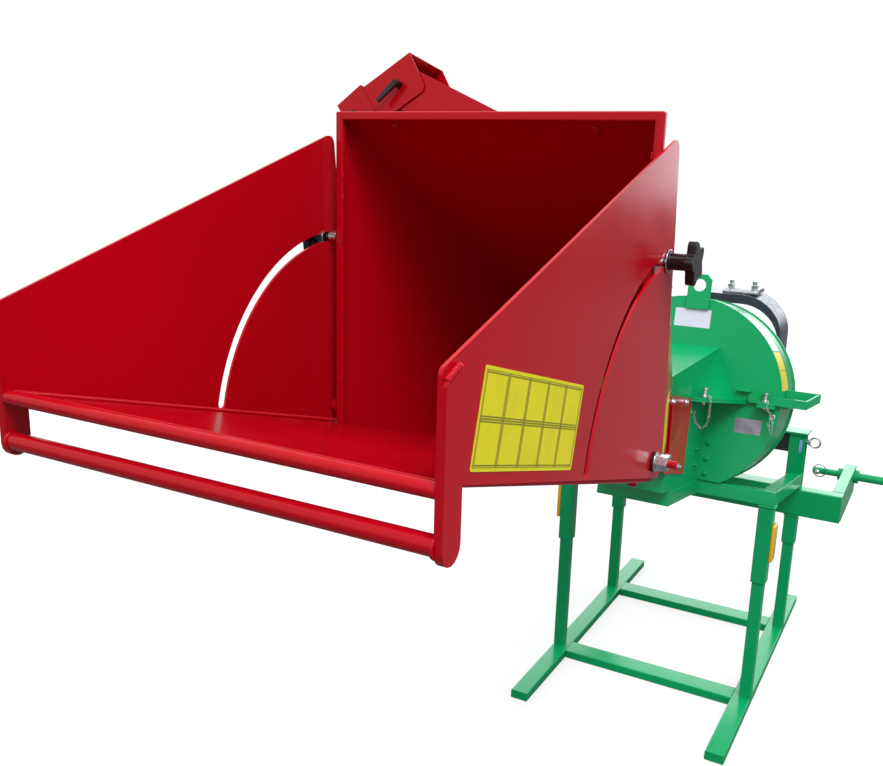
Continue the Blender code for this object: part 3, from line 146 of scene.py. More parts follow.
rays = add_node(sky, "ShaderNodeLightPath")
seen = add_node(sky, "ShaderNodeMath")
seen.operation = "MAXIMUM"
mirrored = add_node(sky, "ShaderNodeMath")
mirrored.operation = "MAXIMUM"
ambient = add_node(sky, "ShaderNodeBackground", Color=(0.93, 0.96, 1.0, 1.0))
heading = add_node(sky, "ShaderNodeTexCoord")
height = add_node(sky, "ShaderNodeSeparateXYZ")
rise = add_node(sky, "ShaderNodeMapRange")
rise.inputs["From Min"].default_value = 0.0
rise.inputs["From Max"].default_value = SKY_RISE
rise.inputs["To Min"].default_value = SKY_LOW
rise.inputs["To Max"].default_value = SKY_HIGH
sky.links.new(heading.outputs["Generated"], height.inputs["Vector"])
sky.links.new(height.outputs["Z"], rise.inputs["Value"])
sky.links.new(rise.outputs["Result"], ambient.inputs["Strength"])
backdrop = add_node(sky, "ShaderNodeBackground", Color=(1.0, 1.0, 1.0, 1.0), Strength=1.0)
sky_choice = add_node(sky, "ShaderNodeMixShader")
sky_out = add_node(sky, "ShaderNodeOutputWorld")
sky.links.new(rays.outputs["Is Camera Ray"], mirrored.inputs[0])
sky.links.new(rays.outputs["Is Glossy Ray"], mirrored.inputs[1])
sky.links.new(mirrored.outputs[0], seen.inputs[0])
sky.links.new(rays.outputs["Is Transmission Ray"], seen.inputs[1])
sky.links.new(seen.outputs[0], sky_choice.inputs[0])
sky.links.new(ambient.outputs[0], sky_choice.inputs[1])
sky.links.new(backdrop.outputs[0], sky_choice.inputs[2])
sky.links.new(sky_choice.outputs[0], sky_out.inputs["Surface"])

bpy.ops.mesh.primitive_plane_add(size=FLOOR_SIZE, location=(0.0, 0.0, FLOOR_Z))
floor = bpy.context.object
floor.name = "studio_floor"
floor_paint = bpy.data.materials.new("studio floor")
floor_paint.use_nodes = True
tree = floor_paint.node_tree
tree.nodes.clear()
floor_rays = add_node(tree, "ShaderNodeLightPath")
floor_matt = add_node(tree, "ShaderNodeBsdfDiffuse", Color=(0.92, 0.92, 0.92, 1.0))
floor_glow = add_node(tree, "ShaderNodeEmission", Color=(1.0, 1.0, 1.0, 1.0), Strength=1.0)
floor_bounce = add_node(tree, "ShaderNodeBsdfDiffuse", Color=(0.16, 0.16, 0.16, 1.0))
floor_seen = add_node(tree, "ShaderNodeMixShader", Fac=FLOOR_WHITE)
floor_mix = add_node(tree, "ShaderNodeMixShader")
floor_out = add_node(tree, "ShaderNodeOutputMaterial")
tree.links.new(floor_matt.outputs[0], floor_seen.inputs[1])
tree.links.new(floor_glow.outputs[0], floor_seen.inputs[2])
tree.links.new(floor_rays.outputs["Is Camera Ray"], floor_mix.inputs[0])
tree.links.new(floor_bounce.outputs[0], floor_mix.inputs[1])
tree.links.new(floor_seen.outputs[0], floor_mix.inputs[2])
tree.links.new(floor_mix.outputs[0], floor_out.inputs["Surface"])
floor.data.materials.append(floor_paint)


def soft_lamp(name, place, aim, width, height, power, tint):
    """An oblong lamp that points at a place on the machine."""
    data = bpy.data.lights.new(name, "AREA")
    data.shape = "RECTANGLE"
    data.size = width
    data.size_y = height
    data.color = tint
    data.energy = power
    lamp = bpy.data.objects.new(name, data)
    bpy.context.scene.collection.objects.link(lamp)
    lamp.location = middle + Vector(place)
    direction = Vector(aim) - Vector(place)
    lamp.rotation_mode = "QUATERNION"
    lamp.rotation_quaternion = direction.to_track_quat("-Z", "Y")
    return lamp


soft_lamp("key", (2.2, -3.2, 5.6), (0.0, -0.7, 0.9), 2.0, 2.0, KEY_POWER, (1.0, 0.99, 0.97))
soft_lamp("rear", (-1.5, 6.5, 2.6), (0.0, 0.0, 0.9), 9.0, 3.2, REAR_POWER, (0.86, 0.92, 1.0))

# Parking stand
# Two skids of flat tube with square legs, joined by two cross bars, sprayed with gloss green
# powder coat like the whole frame. Its legs plug into the sleeves above.
GREEN = (0.0012, 0.36, 0.122, 1.0)

# Widths of broken edges, the angles that count as sharp, smooth and flat, and how close two
# vertices lie that are merged
TUBE_EDGE = 0.0006
FOLD_EDGE = 0.0008
SHEET_EDGE = 0.0009
PIN_EDGE = 0.0003
TURNED_EDGE = 0.0004
MOULDED_EDGE = 0.0012
CAST_EDGE = 0.0015
FUNNEL_EDGE = 0.0007
CRADLE_EDGE = 0.0025
RIM_EDGE = 0.0026
SHARP = math.radians(32)
SMOOTH = math.radians(50)
FLAT = math.radians(0.4)
MERGE = 0.00002
ORIGIN = (0.0, 0.0, 0.0)

body_of = {}
for body, members in frame["record"]["behaviour"]["bodies"].items():
    for member in members:
        body_of[member] = body


def new_group(name, inputs):
    """A shader node group with these inputs, and a colour, a roughness and a normal out."""
    group = bpy.data.node_groups.new(name, "ShaderNodeTree")
    for label, default in inputs.items():
        kind = "NodeSocketColor" if isinstance(default, tuple) else "NodeSocketFloat"
        socket = group.interface.new_socket(label, in_out="INPUT", socket_type=kind)
        socket.default_value = default
    group.interface.new_socket("Colour", in_out="OUTPUT", socket_type="NodeSocketColor")
    group.interface.new_socket("Roughness", in_out="OUTPUT", socket_type="NodeSocketFloat")
    group.interface.new_socket("Normal", in_out="OUTPUT", socket_type="NodeSocketVector")
    return group, group.nodes.new("NodeGroupInput"), group.nodes.new("NodeGroupOutput")


def object_noise(tree, scale, detail):
    """Noise that is fixed to the piece."""
    place = add_node(tree, "ShaderNodeTexCoord")
    noise = add_node(tree, "ShaderNodeTexNoise", Scale=scale, Detail=detail)
    tree.links.new(place.outputs["Object"], noise.inputs["Vector"])
    return noise.outputs["Fac"]


def spread(tree, value, low, high, to_low, to_high):
    """A value stretched from one range to another and held at its ends."""
    stretch = add_node(tree, "ShaderNodeMapRange")
    stretch.inputs["From Min"].default_value = low
    stretch.inputs["From Max"].default_value = high
    stretch.inputs["To Min"].default_value = to_low
    stretch.inputs["To Max"].default_value = to_high
    tree.links.new(value, stretch.inputs["Value"])
    return stretch.outputs["Result"]


def blend_colour(tree, share, first, second):
    """Two colours mixed by a share."""
    mix = tree.nodes.new("ShaderNodeMix")
    mix.data_type = "RGBA"
    tree.links.new(share, mix.inputs[0])
    tree.links.new(first, mix.inputs[6])
    tree.links.new(second, mix.inputs[7])
    return mix.outputs[2]


def vary(tree, base, change):
    """A value with a small change added to it."""
    total = add_node(tree, "ShaderNodeMath")
    total.operation = "ADD"
    total.use_clamp = True
    tree.links.new(base, total.inputs[0])
    tree.links.new(change, total.inputs[1])
    return total.outputs[0]


def relief(tree, height, strength, depth):
    """A bump from a height, with its strength taken from a socket."""
    bump = add_node(tree, "ShaderNodeBump", Distance=depth)
    tree.links.new(height, bump.inputs["Height"])
    tree.links.new(strength, bump.inputs["Strength"])
    return bump.outputs["Normal"]


def sprayed_paint():
    """Powder coat: a fine orange peel, slow changes of tone and a breath of dust."""
    inputs = {"Paint": GREEN, "Shade": GREEN, "Dust": (0.5, 0.5, 0.5, 1.0), "Gloss": 0.3, "Peel": 0.15}
    group, taken, given = new_group("sprayed paint", inputs)
    slow = spread(group, object_noise(group, 2.6, 3.0), 0.35, 0.65, 0.0, 1.0)
    toned = blend_colour(group, slow, taken.outputs["Paint"], taken.outputs["Shade"])
    specks = spread(group, object_noise(group, 210.0, 8.0), 0.62, 0.80, 0.0, 0.05)
    dusty = blend_colour(group, specks, toned, taken.outputs["Dust"])
    smear = spread(group, object_noise(group, 9.0, 5.0), 0.3, 0.7, -0.03, 0.05)
    group.links.new(dusty, given.inputs["Colour"])
    group.links.new(vary(group, taken.outputs["Gloss"], smear), given.inputs["Roughness"])
    skin = relief(group, object_noise(group, 420.0, 2.0), taken.outputs["Peel"], 0.0004)
    group.links.new(skin, given.inputs["Normal"])
    return group


def finish(name, group, metallic, ior, **values):
    """A material whose colour, roughness and normal come from a group with these values."""
    material = bpy.data.materials.new(name)
    material.use_nodes = True
    tree = material.node_tree
    shader = tree.nodes["Principled BSDF"]
    shader.inputs["Metallic"].default_value = metallic
    shader.inputs["IOR"].default_value = ior
    skin = tree.nodes.new("ShaderNodeGroup")
    skin.node_tree = group
    for label, value in values.items():
        skin.inputs[label].default_value = value
    tree.links.new(skin.outputs["Colour"], shader.inputs["Base Color"])
    tree.links.new(skin.outputs["Roughness"], shader.inputs["Roughness"])
    tree.links.new(skin.outputs["Normal"], shader.inputs["Normal"])
    return material


def pick(*pieces):
    """Select these pieces alone and make the first one active."""
    bpy.ops.object.select_all(action="DESELECT")
    for piece in pieces:
        piece.select_set(True)
    bpy.context.view_layer.objects.active = pieces[0]


def edit_all():
    """Open the active piece's mesh with everything selected."""
    bpy.ops.object.mode_set(mode="EDIT")
    bpy.ops.mesh.select_all(action="SELECT")


def end_edit():
    """Close the mesh again."""
    bpy.ops.object.mode_set(mode="OBJECT")


def dress(node, material, edge, change=None):
    """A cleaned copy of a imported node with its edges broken, which stands for that node."""
    piece = bpy.data.objects.new(node + "_dressed", frame["nodes"][node].data.copy())
    bpy.context.scene.collection.objects.link(piece)
    pick(piece)
    bpy.ops.mesh.customdata_custom_splitnormals_clear()
    edit_all()
    bpy.ops.mesh.remove_doubles(threshold=MERGE)
    bpy.ops.mesh.dissolve_limited(angle_limit=FLAT)
    end_edit()
    if change:
        change(piece)
    round_edges(piece, edge)
    piece.data.materials.clear()
    piece.data.materials.append(material)
    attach(piece, body_of[node])
    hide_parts(node)
    return piece


def round_edges(piece, width):
    """Break the sharp edges, then shade the piece so that its flat faces stay flat."""
    pick(piece)
    bevel = piece.modifiers.new("broken edges", "BEVEL")
    bevel.width = width
    bevel.segments = 2
    bevel.limit_method = "ANGLE"
    bevel.angle_limit = SHARP
    bevel.use_clamp_overlap = True
    bpy.ops.object.modifier_apply(modifier=bevel.name)
    bpy.ops.object.shade_smooth_by_angle(angle=SMOOTH)
    weight = piece.modifiers.new("flat faces", "WEIGHTED_NORMAL")
    weight.keep_sharp = True
    bpy.ops.object.modifier_apply(modifier=weight.name)


def block(size):
    """A rectangular block about the origin."""
    bpy.ops.mesh.primitive_cube_add(size=1.0, location=ORIGIN)
    made = bpy.context.object
    made.scale = size
    bpy.ops.object.transform_apply(scale=True)
    return made


def bar(radius, length, corners, lift=0.0):
    """A round or many-sided bar along its own Z axis, lifted off the origin."""
    place = (0.0, 0.0, lift)
    bpy.ops.mesh.primitive_cylinder_add(vertices=corners, radius=radius, depth=length, location=place)
    bpy.ops.object.transform_apply(location=True)
    return bpy.context.object


def hoop(radius, wire, around, across):
    """A ring of round wire in its own XY plane."""
    bpy.ops.mesh.primitive_torus_add(
        major_radius=radius, minor_radius=wire, major_segments=around, minor_segments=across,
        location=ORIGIN,
    )
    return bpy.context.object


def ball(radius, around, rings):
    """A ball about the origin."""
    bpy.ops.mesh.primitive_uv_sphere_add(segments=around, ring_count=rings, radius=radius, location=ORIGIN)
    return bpy.context.object


def thicken(piece, thickness, offset):
    """Turn a surface into a sheet, outside it for an offset of 1 and about it for 0."""
    sheet = piece.modifiers.new("sheet", "SOLIDIFY")
    sheet.thickness = thickness
    sheet.offset = offset
    bpy.ops.object.modifier_apply(modifier=sheet.name)


paint_skin = sprayed_paint()
green_paint = finish(
    "green powder coat", paint_skin, 0.0, 1.38,
    Paint=GREEN, Shade=(0.0010, 0.32, 0.107, 1.0), Dust=(0.25, 0.45, 0.33, 1.0), Gloss=0.22, Peel=0.08,
)
for side in ("left", "right"):
    dress("stand_side_" + side, green_paint, TUBE_EDGE)
for end in ("front", "rear"):
    dress("stand_bar_" + end, green_paint, TUBE_EDGE)

# Frame ring, sleeves and cradle
# Square tube welded into a ring under the drum, with four open sleeves for the stand's legs.
# An amber reflector sits on the outer face of each front sleeve.
for end in ("front", "rear"):
    for side in ("left", "right"):
        dress("sleeve_" + end + "_" + side, green_paint, TUBE_EDGE)
for node in ("ring_front", "ring_rail_left", "ring_rail_right", "cradle", "ring_rear"):
    dress(node, green_paint, TUBE_EDGE if node != "cradle" else CRADLE_EDGE)

BEAD_PITCH = 0.0032
BEAD_FLATNESS = 0.85
SEAM_RADIUS = 0.0026
SEAM_SWELL = 0.5
SEAM_LIFT = 0.0006
SEAM_SET_BACK = 0.7
SEAM_CLIMBS = {"front": 0.0036, "rear": 0.0}
REFLECTOR_SIZE = (0.0105, 0.039, 0.105)
REFLECTOR_CORNER = 0.0034
REFLECTOR_GAP = 0.0003
REFLECTOR_Z = 0.4995


def settle(piece, name, material, body):
    """Apply a piece's place, name and paint it, and let it ride on a body if one is given."""
    pick(piece)
    bpy.ops.object.transform_apply(location=True, rotation=True, scale=True)
    piece.name = name
    piece.data.name = name
    piece.data.materials.clear()
    piece.data.materials.append(material)
    if body:
        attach(piece, body)
    return piece


def weld_bead(name, start, end, radius, material, body, pitch=BEAD_PITCH):
    """A welded seam between two places of the upright frame: flat rounds laid like coins."""
    path = Vector(end) - Vector(start)
    bead = ball(1.0, 10, 6)
    bead.scale = (radius, radius, pitch * BEAD_FLATNESS)
    bpy.ops.object.transform_apply(scale=True)
    bpy.ops.object.shade_smooth()
    row = bead.modifiers.new("run", "ARRAY")
    row.count = max(2, int(path.length / pitch))
    row.use_relative_offset = False
    row.use_constant_offset = True
    row.constant_offset_displace = (0.0, 0.0, pitch)
    bpy.ops.object.modifier_apply(modifier=row.name)
    bead.matrix_world = upright_at(start) @ path.to_track_quat("Z", "Y").to_matrix().to_4x4()
    return settle(bead, name, material, body)


# A seam runs round the top of each sleeve, where it meets the ring or the beam above. The ring
# leans, so the front sleeves' seams climb towards the front and are fatter.
for end, climb in SEAM_CLIMBS.items():
    for side in ("left", "right"):
        low, high = (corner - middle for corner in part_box("sleeve_" + end + "_" + side))
        seam_z = high.z + SEAM_LIFT
        front_y = low.y + SEAM_SET_BACK * climb
        corners = [
            (low.x, front_y, seam_z + climb), (high.x, front_y, seam_z + climb),
            (high.x, high.y, seam_z), (low.x, high.y, seam_z),
        ]
        radius = SEAM_RADIUS + SEAM_SWELL * climb
        for index, corner in enumerate(corners):
            name = "sleeve_seam_" + end + "_" + side + "_" + str(index)
            weld_bead(name, corners[index - 1], corner, radius, green_paint, "frame")


def lens_skin():
    """Moulded reflector: rows of tiny pyramids under a clear face, with a painted glint of brighter amber at the
    middle of each facet.
    """
    inputs = {"Lens": (0.68, 0.36, 0.01, 1.0), "Painted glint": (0.95, 0.62, 0.03, 1.0), "Gloss": 0.15, "Cut": 0.6}
    group, taken, given = new_group("reflector lens", inputs)
    place = add_node(group, "ShaderNodeTexCoord")
    cells = add_node(group, "ShaderNodeTexVoronoi", Scale=330.0, Randomness=0.15)
    group.links.new(place.outputs["Object"], cells.inputs["Vector"])
    # Brighter amber towards each cell's middle is a painted glint of the facets
    glint_share = spread(group, cells.outputs["Distance"], 0.1, 0.7, 0.0, 1.0)
    toned = blend_colour(group, glint_share, taken.outputs["Painted glint"], taken.outputs["Lens"])
    group.links.new(toned, given.inputs["Colour"])
    smear = spread(group, object_noise(group, 40.0, 3.0), 0.3, 0.7, 0.0, 0.08)
    group.links.new(vary(group, taken.outputs["Gloss"], smear), given.inputs["Roughness"])
    cut = relief(group, cells.outputs["Distance"], taken.outputs["Cut"], 0.0008)
    group.links.new(cut, given.inputs["Normal"])
    return group


amber_lens = finish("amber reflector", lens_skin(), 0.0, 1.49)
for side, label in SIDES:
    sleeve_low, sleeve_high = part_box("sleeve_front_" + label)
    face_x = sleeve_high.x if side > 0 else sleeve_low.x
    centre_y = (sleeve_low.y + sleeve_high.y) / 2
    reflector = block(REFLECTOR_SIZE)
    reflector.location = (face_x + side * (REFLECTOR_SIZE[0] / 2 + REFLECTOR_GAP), centre_y, REFLECTOR_Z)
    bevel = reflector.modifiers.new("rounded", "BEVEL")
    bevel.width = REFLECTOR_CORNER
    bevel.segments = 4
    bpy.ops.object.modifier_apply(modifier=bevel.name)
    bpy.ops.object.shade_smooth_by_angle(angle=math.radians(40))
    settle(reflector, "reflector_" + label, amber_lens, "frame")

# Three-point hitch
# The lower beam with its arms and pins, two folded posts with cap plates, the tower beam between them,
# painted near-black both as its paint and as painted shade for the deep shadow under the housing,
# and the portal with the two lugs for the top link.
for node in ("link_beam", "link_arm_left", "link_arm_right", "tower_post_left", "tower_post_right"):
    dress(node, green_paint, FOLD_EDGE)
dress("link_pin_left", green_paint, TURNED_EDGE)
dress("link_pin_right", green_paint, TURNED_EDGE)
dress("top_link_mast", green_paint, FOLD_EDGE)

# The tower beam's near-black is partly its paint and partly painted shade for the deep shadow under the housing
tower_paint_and_shade = finish(
    "black tower paint and painted shade", paint_skin, 0.0, 1.45,
    Paint=(0.012, 0.013, 0.013, 1.0), Shade=(0.02, 0.024, 0.022, 1.0), Dust=(0.2, 0.2, 0.2, 1.0),
    Gloss=0.4, Peel=0.2,
)
dress("tower_beam", tower_paint_and_shade, TUBE_EDGE)


def plated_metal():
    """Plated or ground metal: dull patches, a smeared gloss and a fine grain."""
    inputs = {"Metal": (0.6, 0.6, 0.6, 1.0), "Patch": (0.4, 0.4, 0.4, 1.0), "Gloss": 0.3, "Grain": 0.2}
    group, taken, given = new_group("plated metal", inputs)
    patches = spread(group, object_noise(group, 60.0, 6.0), 0.4, 0.7, 0.0, 1.0)
    toned = blend_colour(group, patches, taken.outputs["Metal"], taken.outputs["Patch"])
    group.links.new(toned, given.inputs["Colour"])
    smear = spread(group, object_noise(group, 210.0, 4.0), 0.3, 0.7, -0.06, 0.12)
    group.links.new(vary(group, taken.outputs["Gloss"], smear), given.inputs["Roughness"])
    grain = relief(group, object_noise(group, 900.0, 2.0), taken.outputs["Grain"], 0.0002)
    group.links.new(grain, given.inputs["Normal"])
    return group


metal_skin = plated_metal()
zinc_plate = finish(
    "zinc plate", metal_skin, 1.0, 1.45,
    Metal=(0.66, 0.68, 0.74, 1.0), Patch=(0.46, 0.46, 0.44, 1.0), Gloss=0.26, Grain=0.25,
)
for node in ("top_link_pin", "post_pin_left", "post_pin_right"):
    dress(node, zinc_plate, PIN_EDGE)

# Lynch pins on the link pins
# A short cross pin with a round head goes through each link pin, and its flap ring hangs down.
LYNCH_RING_PLACE = (0.3135, 0.800, 0.4745)
LYNCH_RING = 0.0215
LYNCH_WIRE = 0.0021
LYNCH_SHANK_PLACE = (0.3075, 0.815, 0.4700)
LYNCH_SHANK = 0.0042
LYNCH_LENGTH = 0.046
LYNCH_HEAD_PLACE = (0.3075, 0.7925, 0.4700)
LYNCH_HEAD = 0.0085

for side, label in SIDES:
    ring = hoop(LYNCH_RING, LYNCH_WIRE, 36, 10)
    ring.matrix_world = upright_at(twin(side, LYNCH_RING_PLACE)) @ along_y
    shank = bar(LYNCH_SHANK, LYNCH_LENGTH, 20)
    shank.matrix_world = upright_at(twin(side, LYNCH_SHANK_PLACE)) @ along_y
    head = ball(LYNCH_HEAD, 20, 12)
    head.matrix_world = upright_at(twin(side, LYNCH_HEAD_PLACE))
    pick(ring, shank, head)
    bpy.ops.object.join()
    bpy.ops.object.shade_smooth_by_angle(angle=math.radians(40))
    settle(ring, "lynch_pin_" + label, zinc_plate, "frame")

# Drum housing
# Two halves of rolled and pressed sheet, split at the height of the shaft. The upper half swings
# on the left seam and carries the lifting eye, the carrying handle and the feed hood.
for node in ("lower_housing", "upper_housing", "cover_handle", "infeed_hood", "infeed_box"):
    dress(node, green_paint, SHEET_EDGE)

# The foot of the carrying handle runs on along the drum's face
FOOT_SIZE = (0.0365, 0.0140, 0.0070)
FOOT_PLACE = (0.1862, -0.0074, 0.0300)
foot = block(FOOT_SIZE)
round_edges(foot, MOULDED_EDGE)
foot.matrix_world = leaning_at(FOOT_PLACE)
settle(foot, "handle_foot", green_paint, "cover")

# Films and plate on the housing
# All are blank: a white film and a stamped plate on the drum's face, a white and two yellow films
# round its rim, a slim blue one on the tower post and a yellow one on the funnel's side.
FILM = 0.0004
DRUM_RADIUS = 0.270
ROTOR_X = rotor_centre.x - middle.x
RIM_FILM_DEPTH = (0.003, 0.100)
RIM_FILM_STEPS = 24
POST_FILM_X = 0.2872
POST_FILM_STEP = 0.0078
POST_FILM_Z = 0.6463


def printed_film():
    """Printed plastic film: an even colour with a faint ripple from the hand that laid it."""
    inputs = {"Print": (0.8, 0.8, 0.8, 1.0), "Worn": (0.7, 0.7, 0.7, 1.0), "Gloss": 0.3, "Ripple": 0.1}
    group, taken, given = new_group("printed film", inputs)
    worn = spread(group, object_noise(group, 24.0, 5.0), 0.45, 0.75, 0.0, 1.0)
    toned = blend_colour(group, worn, taken.outputs["Print"], taken.outputs["Worn"])
    group.links.new(toned, given.inputs["Colour"])
    smear = spread(group, object_noise(group, 30.0, 3.0), 0.3, 0.7, -0.04, 0.08)
    group.links.new(vary(group, taken.outputs["Gloss"], smear), given.inputs["Roughness"])
    ripple = relief(group, object_noise(group, 60.0, 2.0), taken.outputs["Ripple"], 0.0006)
    group.links.new(ripple, given.inputs["Normal"])
    return group


film_skin = printed_film()
white_film = finish(
    "white film", film_skin, 0.0, 1.45,
    Print=(0.72, 0.74, 0.88, 1.0), Worn=(0.64, 0.66, 0.80, 1.0), Gloss=0.3, Ripple=0.1,
)
yellow_film = finish(
    "yellow film", film_skin, 0.0, 1.25,
    Print=(0.76, 0.68, 0.014, 1.0), Worn=(0.70, 0.62, 0.014, 1.0), Gloss=0.3, Ripple=0.08,
)
blue_film = finish(
    "blue film", film_skin, 0.0, 1.45,
    Print=(0.10, 0.24, 0.75, 1.0), Worn=(0.35, 0.42, 0.75, 1.0), Gloss=0.3, Ripple=0.1,
)
blank_plate = finish(
    "stamped plate", metal_skin, 1.0, 1.45,
    Metal=(0.52, 0.53, 0.66, 1.0), Patch=(0.32, 0.34, 0.44, 1.0), Gloss=0.42, Grain=0.6,
)


def flat_film(name, width, height, place, material, body, corner):
    """A blank sheet in its own XY plane, with round corners, laid by a matrix."""
    bpy.ops.mesh.primitive_plane_add(size=1.0, location=ORIGIN)
    film = bpy.context.object
    film.scale = (width, height, 1.0)
    bpy.ops.object.transform_apply(scale=True)
    edit_all()
    bpy.ops.mesh.bevel(offset=corner, segments=4, affect="VERTICES")
    end_edit()
    thicken(film, FILM, 1.0)
    film.matrix_world = place
    return settle(film, name, material, body)


def drum_face(x, height):
    """A film's place on the front face of the drum, in the leaning frame."""
    return leaning_at((x, -FILM / 2, height)) @ along_y


hood_place = drum_face(0.0215, 0.2100)
flat_film("hood_film", 0.0985, 0.0500, hood_place, white_film, "cover", 0.0015)
plate_place = drum_face(0.2075, -0.0660)
flat_film("blank_plate", 0.0690, 0.0410, plate_place, blank_plate, "frame", 0.0012)


def rim_film(name, start, end, material):
    """A film round the drum's rim between two angles in degrees, spun from one straight edge."""
    bpy.ops.mesh.primitive_plane_add(size=1.0, location=ORIGIN)
    film = bpy.context.object
    radius = DRUM_RADIUS + FILM / 2
    first = math.radians(start)
    front, rear = RIM_FILM_DEPTH
    edit_all()
    bpy.ops.mesh.merge(type="COLLAPSE")
    bpy.ops.transform.translate(value=(radius * math.cos(first), front, radius * math.sin(first)))
    bpy.ops.mesh.extrude_region_move(TRANSFORM_OT_translate={"value": (0.0, rear - front, 0.0)})
    bpy.ops.mesh.select_all(action="SELECT")
    sweep = math.radians(end) - first
    bpy.ops.mesh.spin(steps=RIM_FILM_STEPS, angle=sweep, center=ORIGIN, axis=(0.0, 1.0, 0.0))
    bpy.ops.mesh.select_all(action="SELECT")
    bpy.ops.mesh.remove_doubles(threshold=MERGE)
    end_edit()
    thicken(film, FILM, 0.0)
    edit_all()
    bpy.ops.mesh.normals_make_consistent(inside=False)
    end_edit()
    bpy.ops.object.shade_smooth_by_angle(angle=math.radians(30))
    film.matrix_world = leaning_at((ROTOR_X, 0.0, 0.0))
    return settle(film, name, material, "cover")


rim_film("rim_film_white", 56.0, 32.5, white_film)
rim_film("rim_film_yellow_upper", 31.5, 20.6, yellow_film)
rim_film("rim_film_yellow_lower", 20.2, 8.6, yellow_film)
post_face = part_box("tower_post_right")[0].y + POST_FILM_STEP
post_place = Matrix.Translation((middle.x + POST_FILM_X, post_face, POST_FILM_Z)) @ along_y
flat_film("post_film", 0.009, 0.040, post_place, blue_film, "frame", 0.001)

# Lock pins and their chains
# Two plated quick-release pins hold the cover down. Each hangs on a short chain of welded
# links. The hood pin's chain runs back under the flange, where its far ring stays on the cover.
LINK_HALF = 0.0042
LINK_ROUND = 0.0026
LINK_WIRE = 0.00085
RING_TILT = math.radians(80)
CHAINS = {
    "lock_pin_hood": [
        (0.1265, -0.158, 0.013), (0.1340, -0.161, 0.009), (0.1362, -0.161, -0.010),
        (0.1365, -0.160, -0.044), (0.1310, -0.151, -0.064), (0.1170, -0.140, -0.078),
        (0.1020, -0.148, -0.064), (0.0965, -0.162, -0.038),
    ],
    "lock_pin_side": [
        (0.2545, -0.036, 0.012), (0.2585, -0.040, -0.010), (0.2700, -0.037, -0.027),
        (0.2755, -0.034, -0.048), (0.2735, -0.031, -0.072), (0.2640, -0.029, -0.047),
        (0.2685, -0.032, -0.030),
    ],
}

SHANK_END = -0.0220
SHANK_CUT = 0.0125


def shorten(pin):
    """Draw the shank's lower end up, so that only a stub shows under the flanges."""
    for vert in pin.data.vertices:
        spot = leaning.inverted() @ vert.co
        if spot.z < SHANK_END:
            spot.z += SHANK_CUT
            vert.co = leaning @ spot


for node in CHAINS:
    dress(node, zinc_plate, PIN_EDGE, shorten)


def chain_link():
    """One welded link: a small ring drawn out to an oval."""
    link = hoop(LINK_ROUND, LINK_WIRE, 18, 8)
    for vert in link.data.vertices:
        if abs(vert.co.x) > 0.0001:
            vert.co.x += math.copysign(LINK_HALF - LINK_ROUND, vert.co.x)
    bpy.ops.object.shade_smooth()
    return link


def along(points, distance):
    """The point and heading at a distance along straight runs between points."""
    for first, second in zip(points, points[1:]):
        run = second - first
        if distance <= run.length or second is points[-1]:
            return first + run.normalized() * distance, run.normalized()
        distance -= run.length


pattern_link = chain_link()
chains = {}
for body, spots in CHAINS.items():
    points = [leaning @ Vector(spot) for spot in spots]
    length = sum((b - a).length for a, b in zip(points, points[1:]))
    pitch = 2 * LINK_HALF - 2 * LINK_WIRE
    links = []
    for index in range(int(length / pitch)):
        spot, heading = along(points, (index + 0.5) * pitch)
        link = pattern_link.copy()
        link.data = pattern_link.data.copy()
        bpy.context.scene.collection.objects.link(link)
        lie = heading.to_track_quat("X", "Z").to_matrix().to_4x4()
        quarter = Matrix.Rotation(index % 2 * math.pi / 2, 4, "X")
        link.matrix_world = Matrix.Translation(spot) @ lie @ quarter
        links.append(link)
    pick(*links)
    bpy.ops.object.join()
    chains[body] = settle(links[0], body.replace("lock_pin", "chain"), zinc_plate, None)
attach(chains["lock_pin_side"], "lock_pin_side")
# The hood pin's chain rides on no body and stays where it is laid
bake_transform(chains["lock_pin_hood"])
bpy.data.objects.remove(pattern_link)


def chain_ring(name, radius, wire, spot, body):
    """The bent wire ring at the end of a chain."""
    ring = hoop(radius, wire, 28, 10)
    bpy.ops.object.shade_smooth()
    ring.matrix_world = leaning_at(spot) @ Matrix.Rotation(RING_TILT, 4, "X")
    return settle(ring, name, zinc_plate, body)


chain_ring("chain_ring_side", 0.0062, 0.0013, (0.2725, -0.036, -0.029), "lock_pin_side")
chain_ring("chain_ring_hood", 0.0042, 0.0009, (0.0960, -0.163, -0.035), "cover")

# Rotor, knives and bearings
# A ground disc with two bolted knives and four paddles on a splined shaft, carried by two cast
# pillow blocks on a bracket behind the drum. The bed knife and its guide stand in the throat.
ground_steel = finish(
    "ground steel", metal_skin, 1.0, 1.45,
    Metal=(0.42, 0.42, 0.43, 1.0), Patch=(0.28, 0.27, 0.26, 1.0), Gloss=0.34, Grain=0.4,
)
cast_paint = finish(
    "painted casting", paint_skin, 0.0, 1.45,
    Paint=(0.03, 0.03, 0.032, 1.0), Shade=(0.045, 0.044, 0.043, 1.0), Dust=(0.2, 0.19, 0.18, 1.0),
    Gloss=0.5, Peel=0.9,
)
for node in ("rotor_disc", "knife_a", "knife_b", "rotor_shaft", "bed_knife", "throat_guide"):
    dress(node, ground_steel, TURNED_EDGE)
for node in ("bearing_front", "bearing_rear"):
    dress(node, cast_paint, CAST_EDGE)
dress("bearing_bracket", green_paint, SHEET_EDGE)
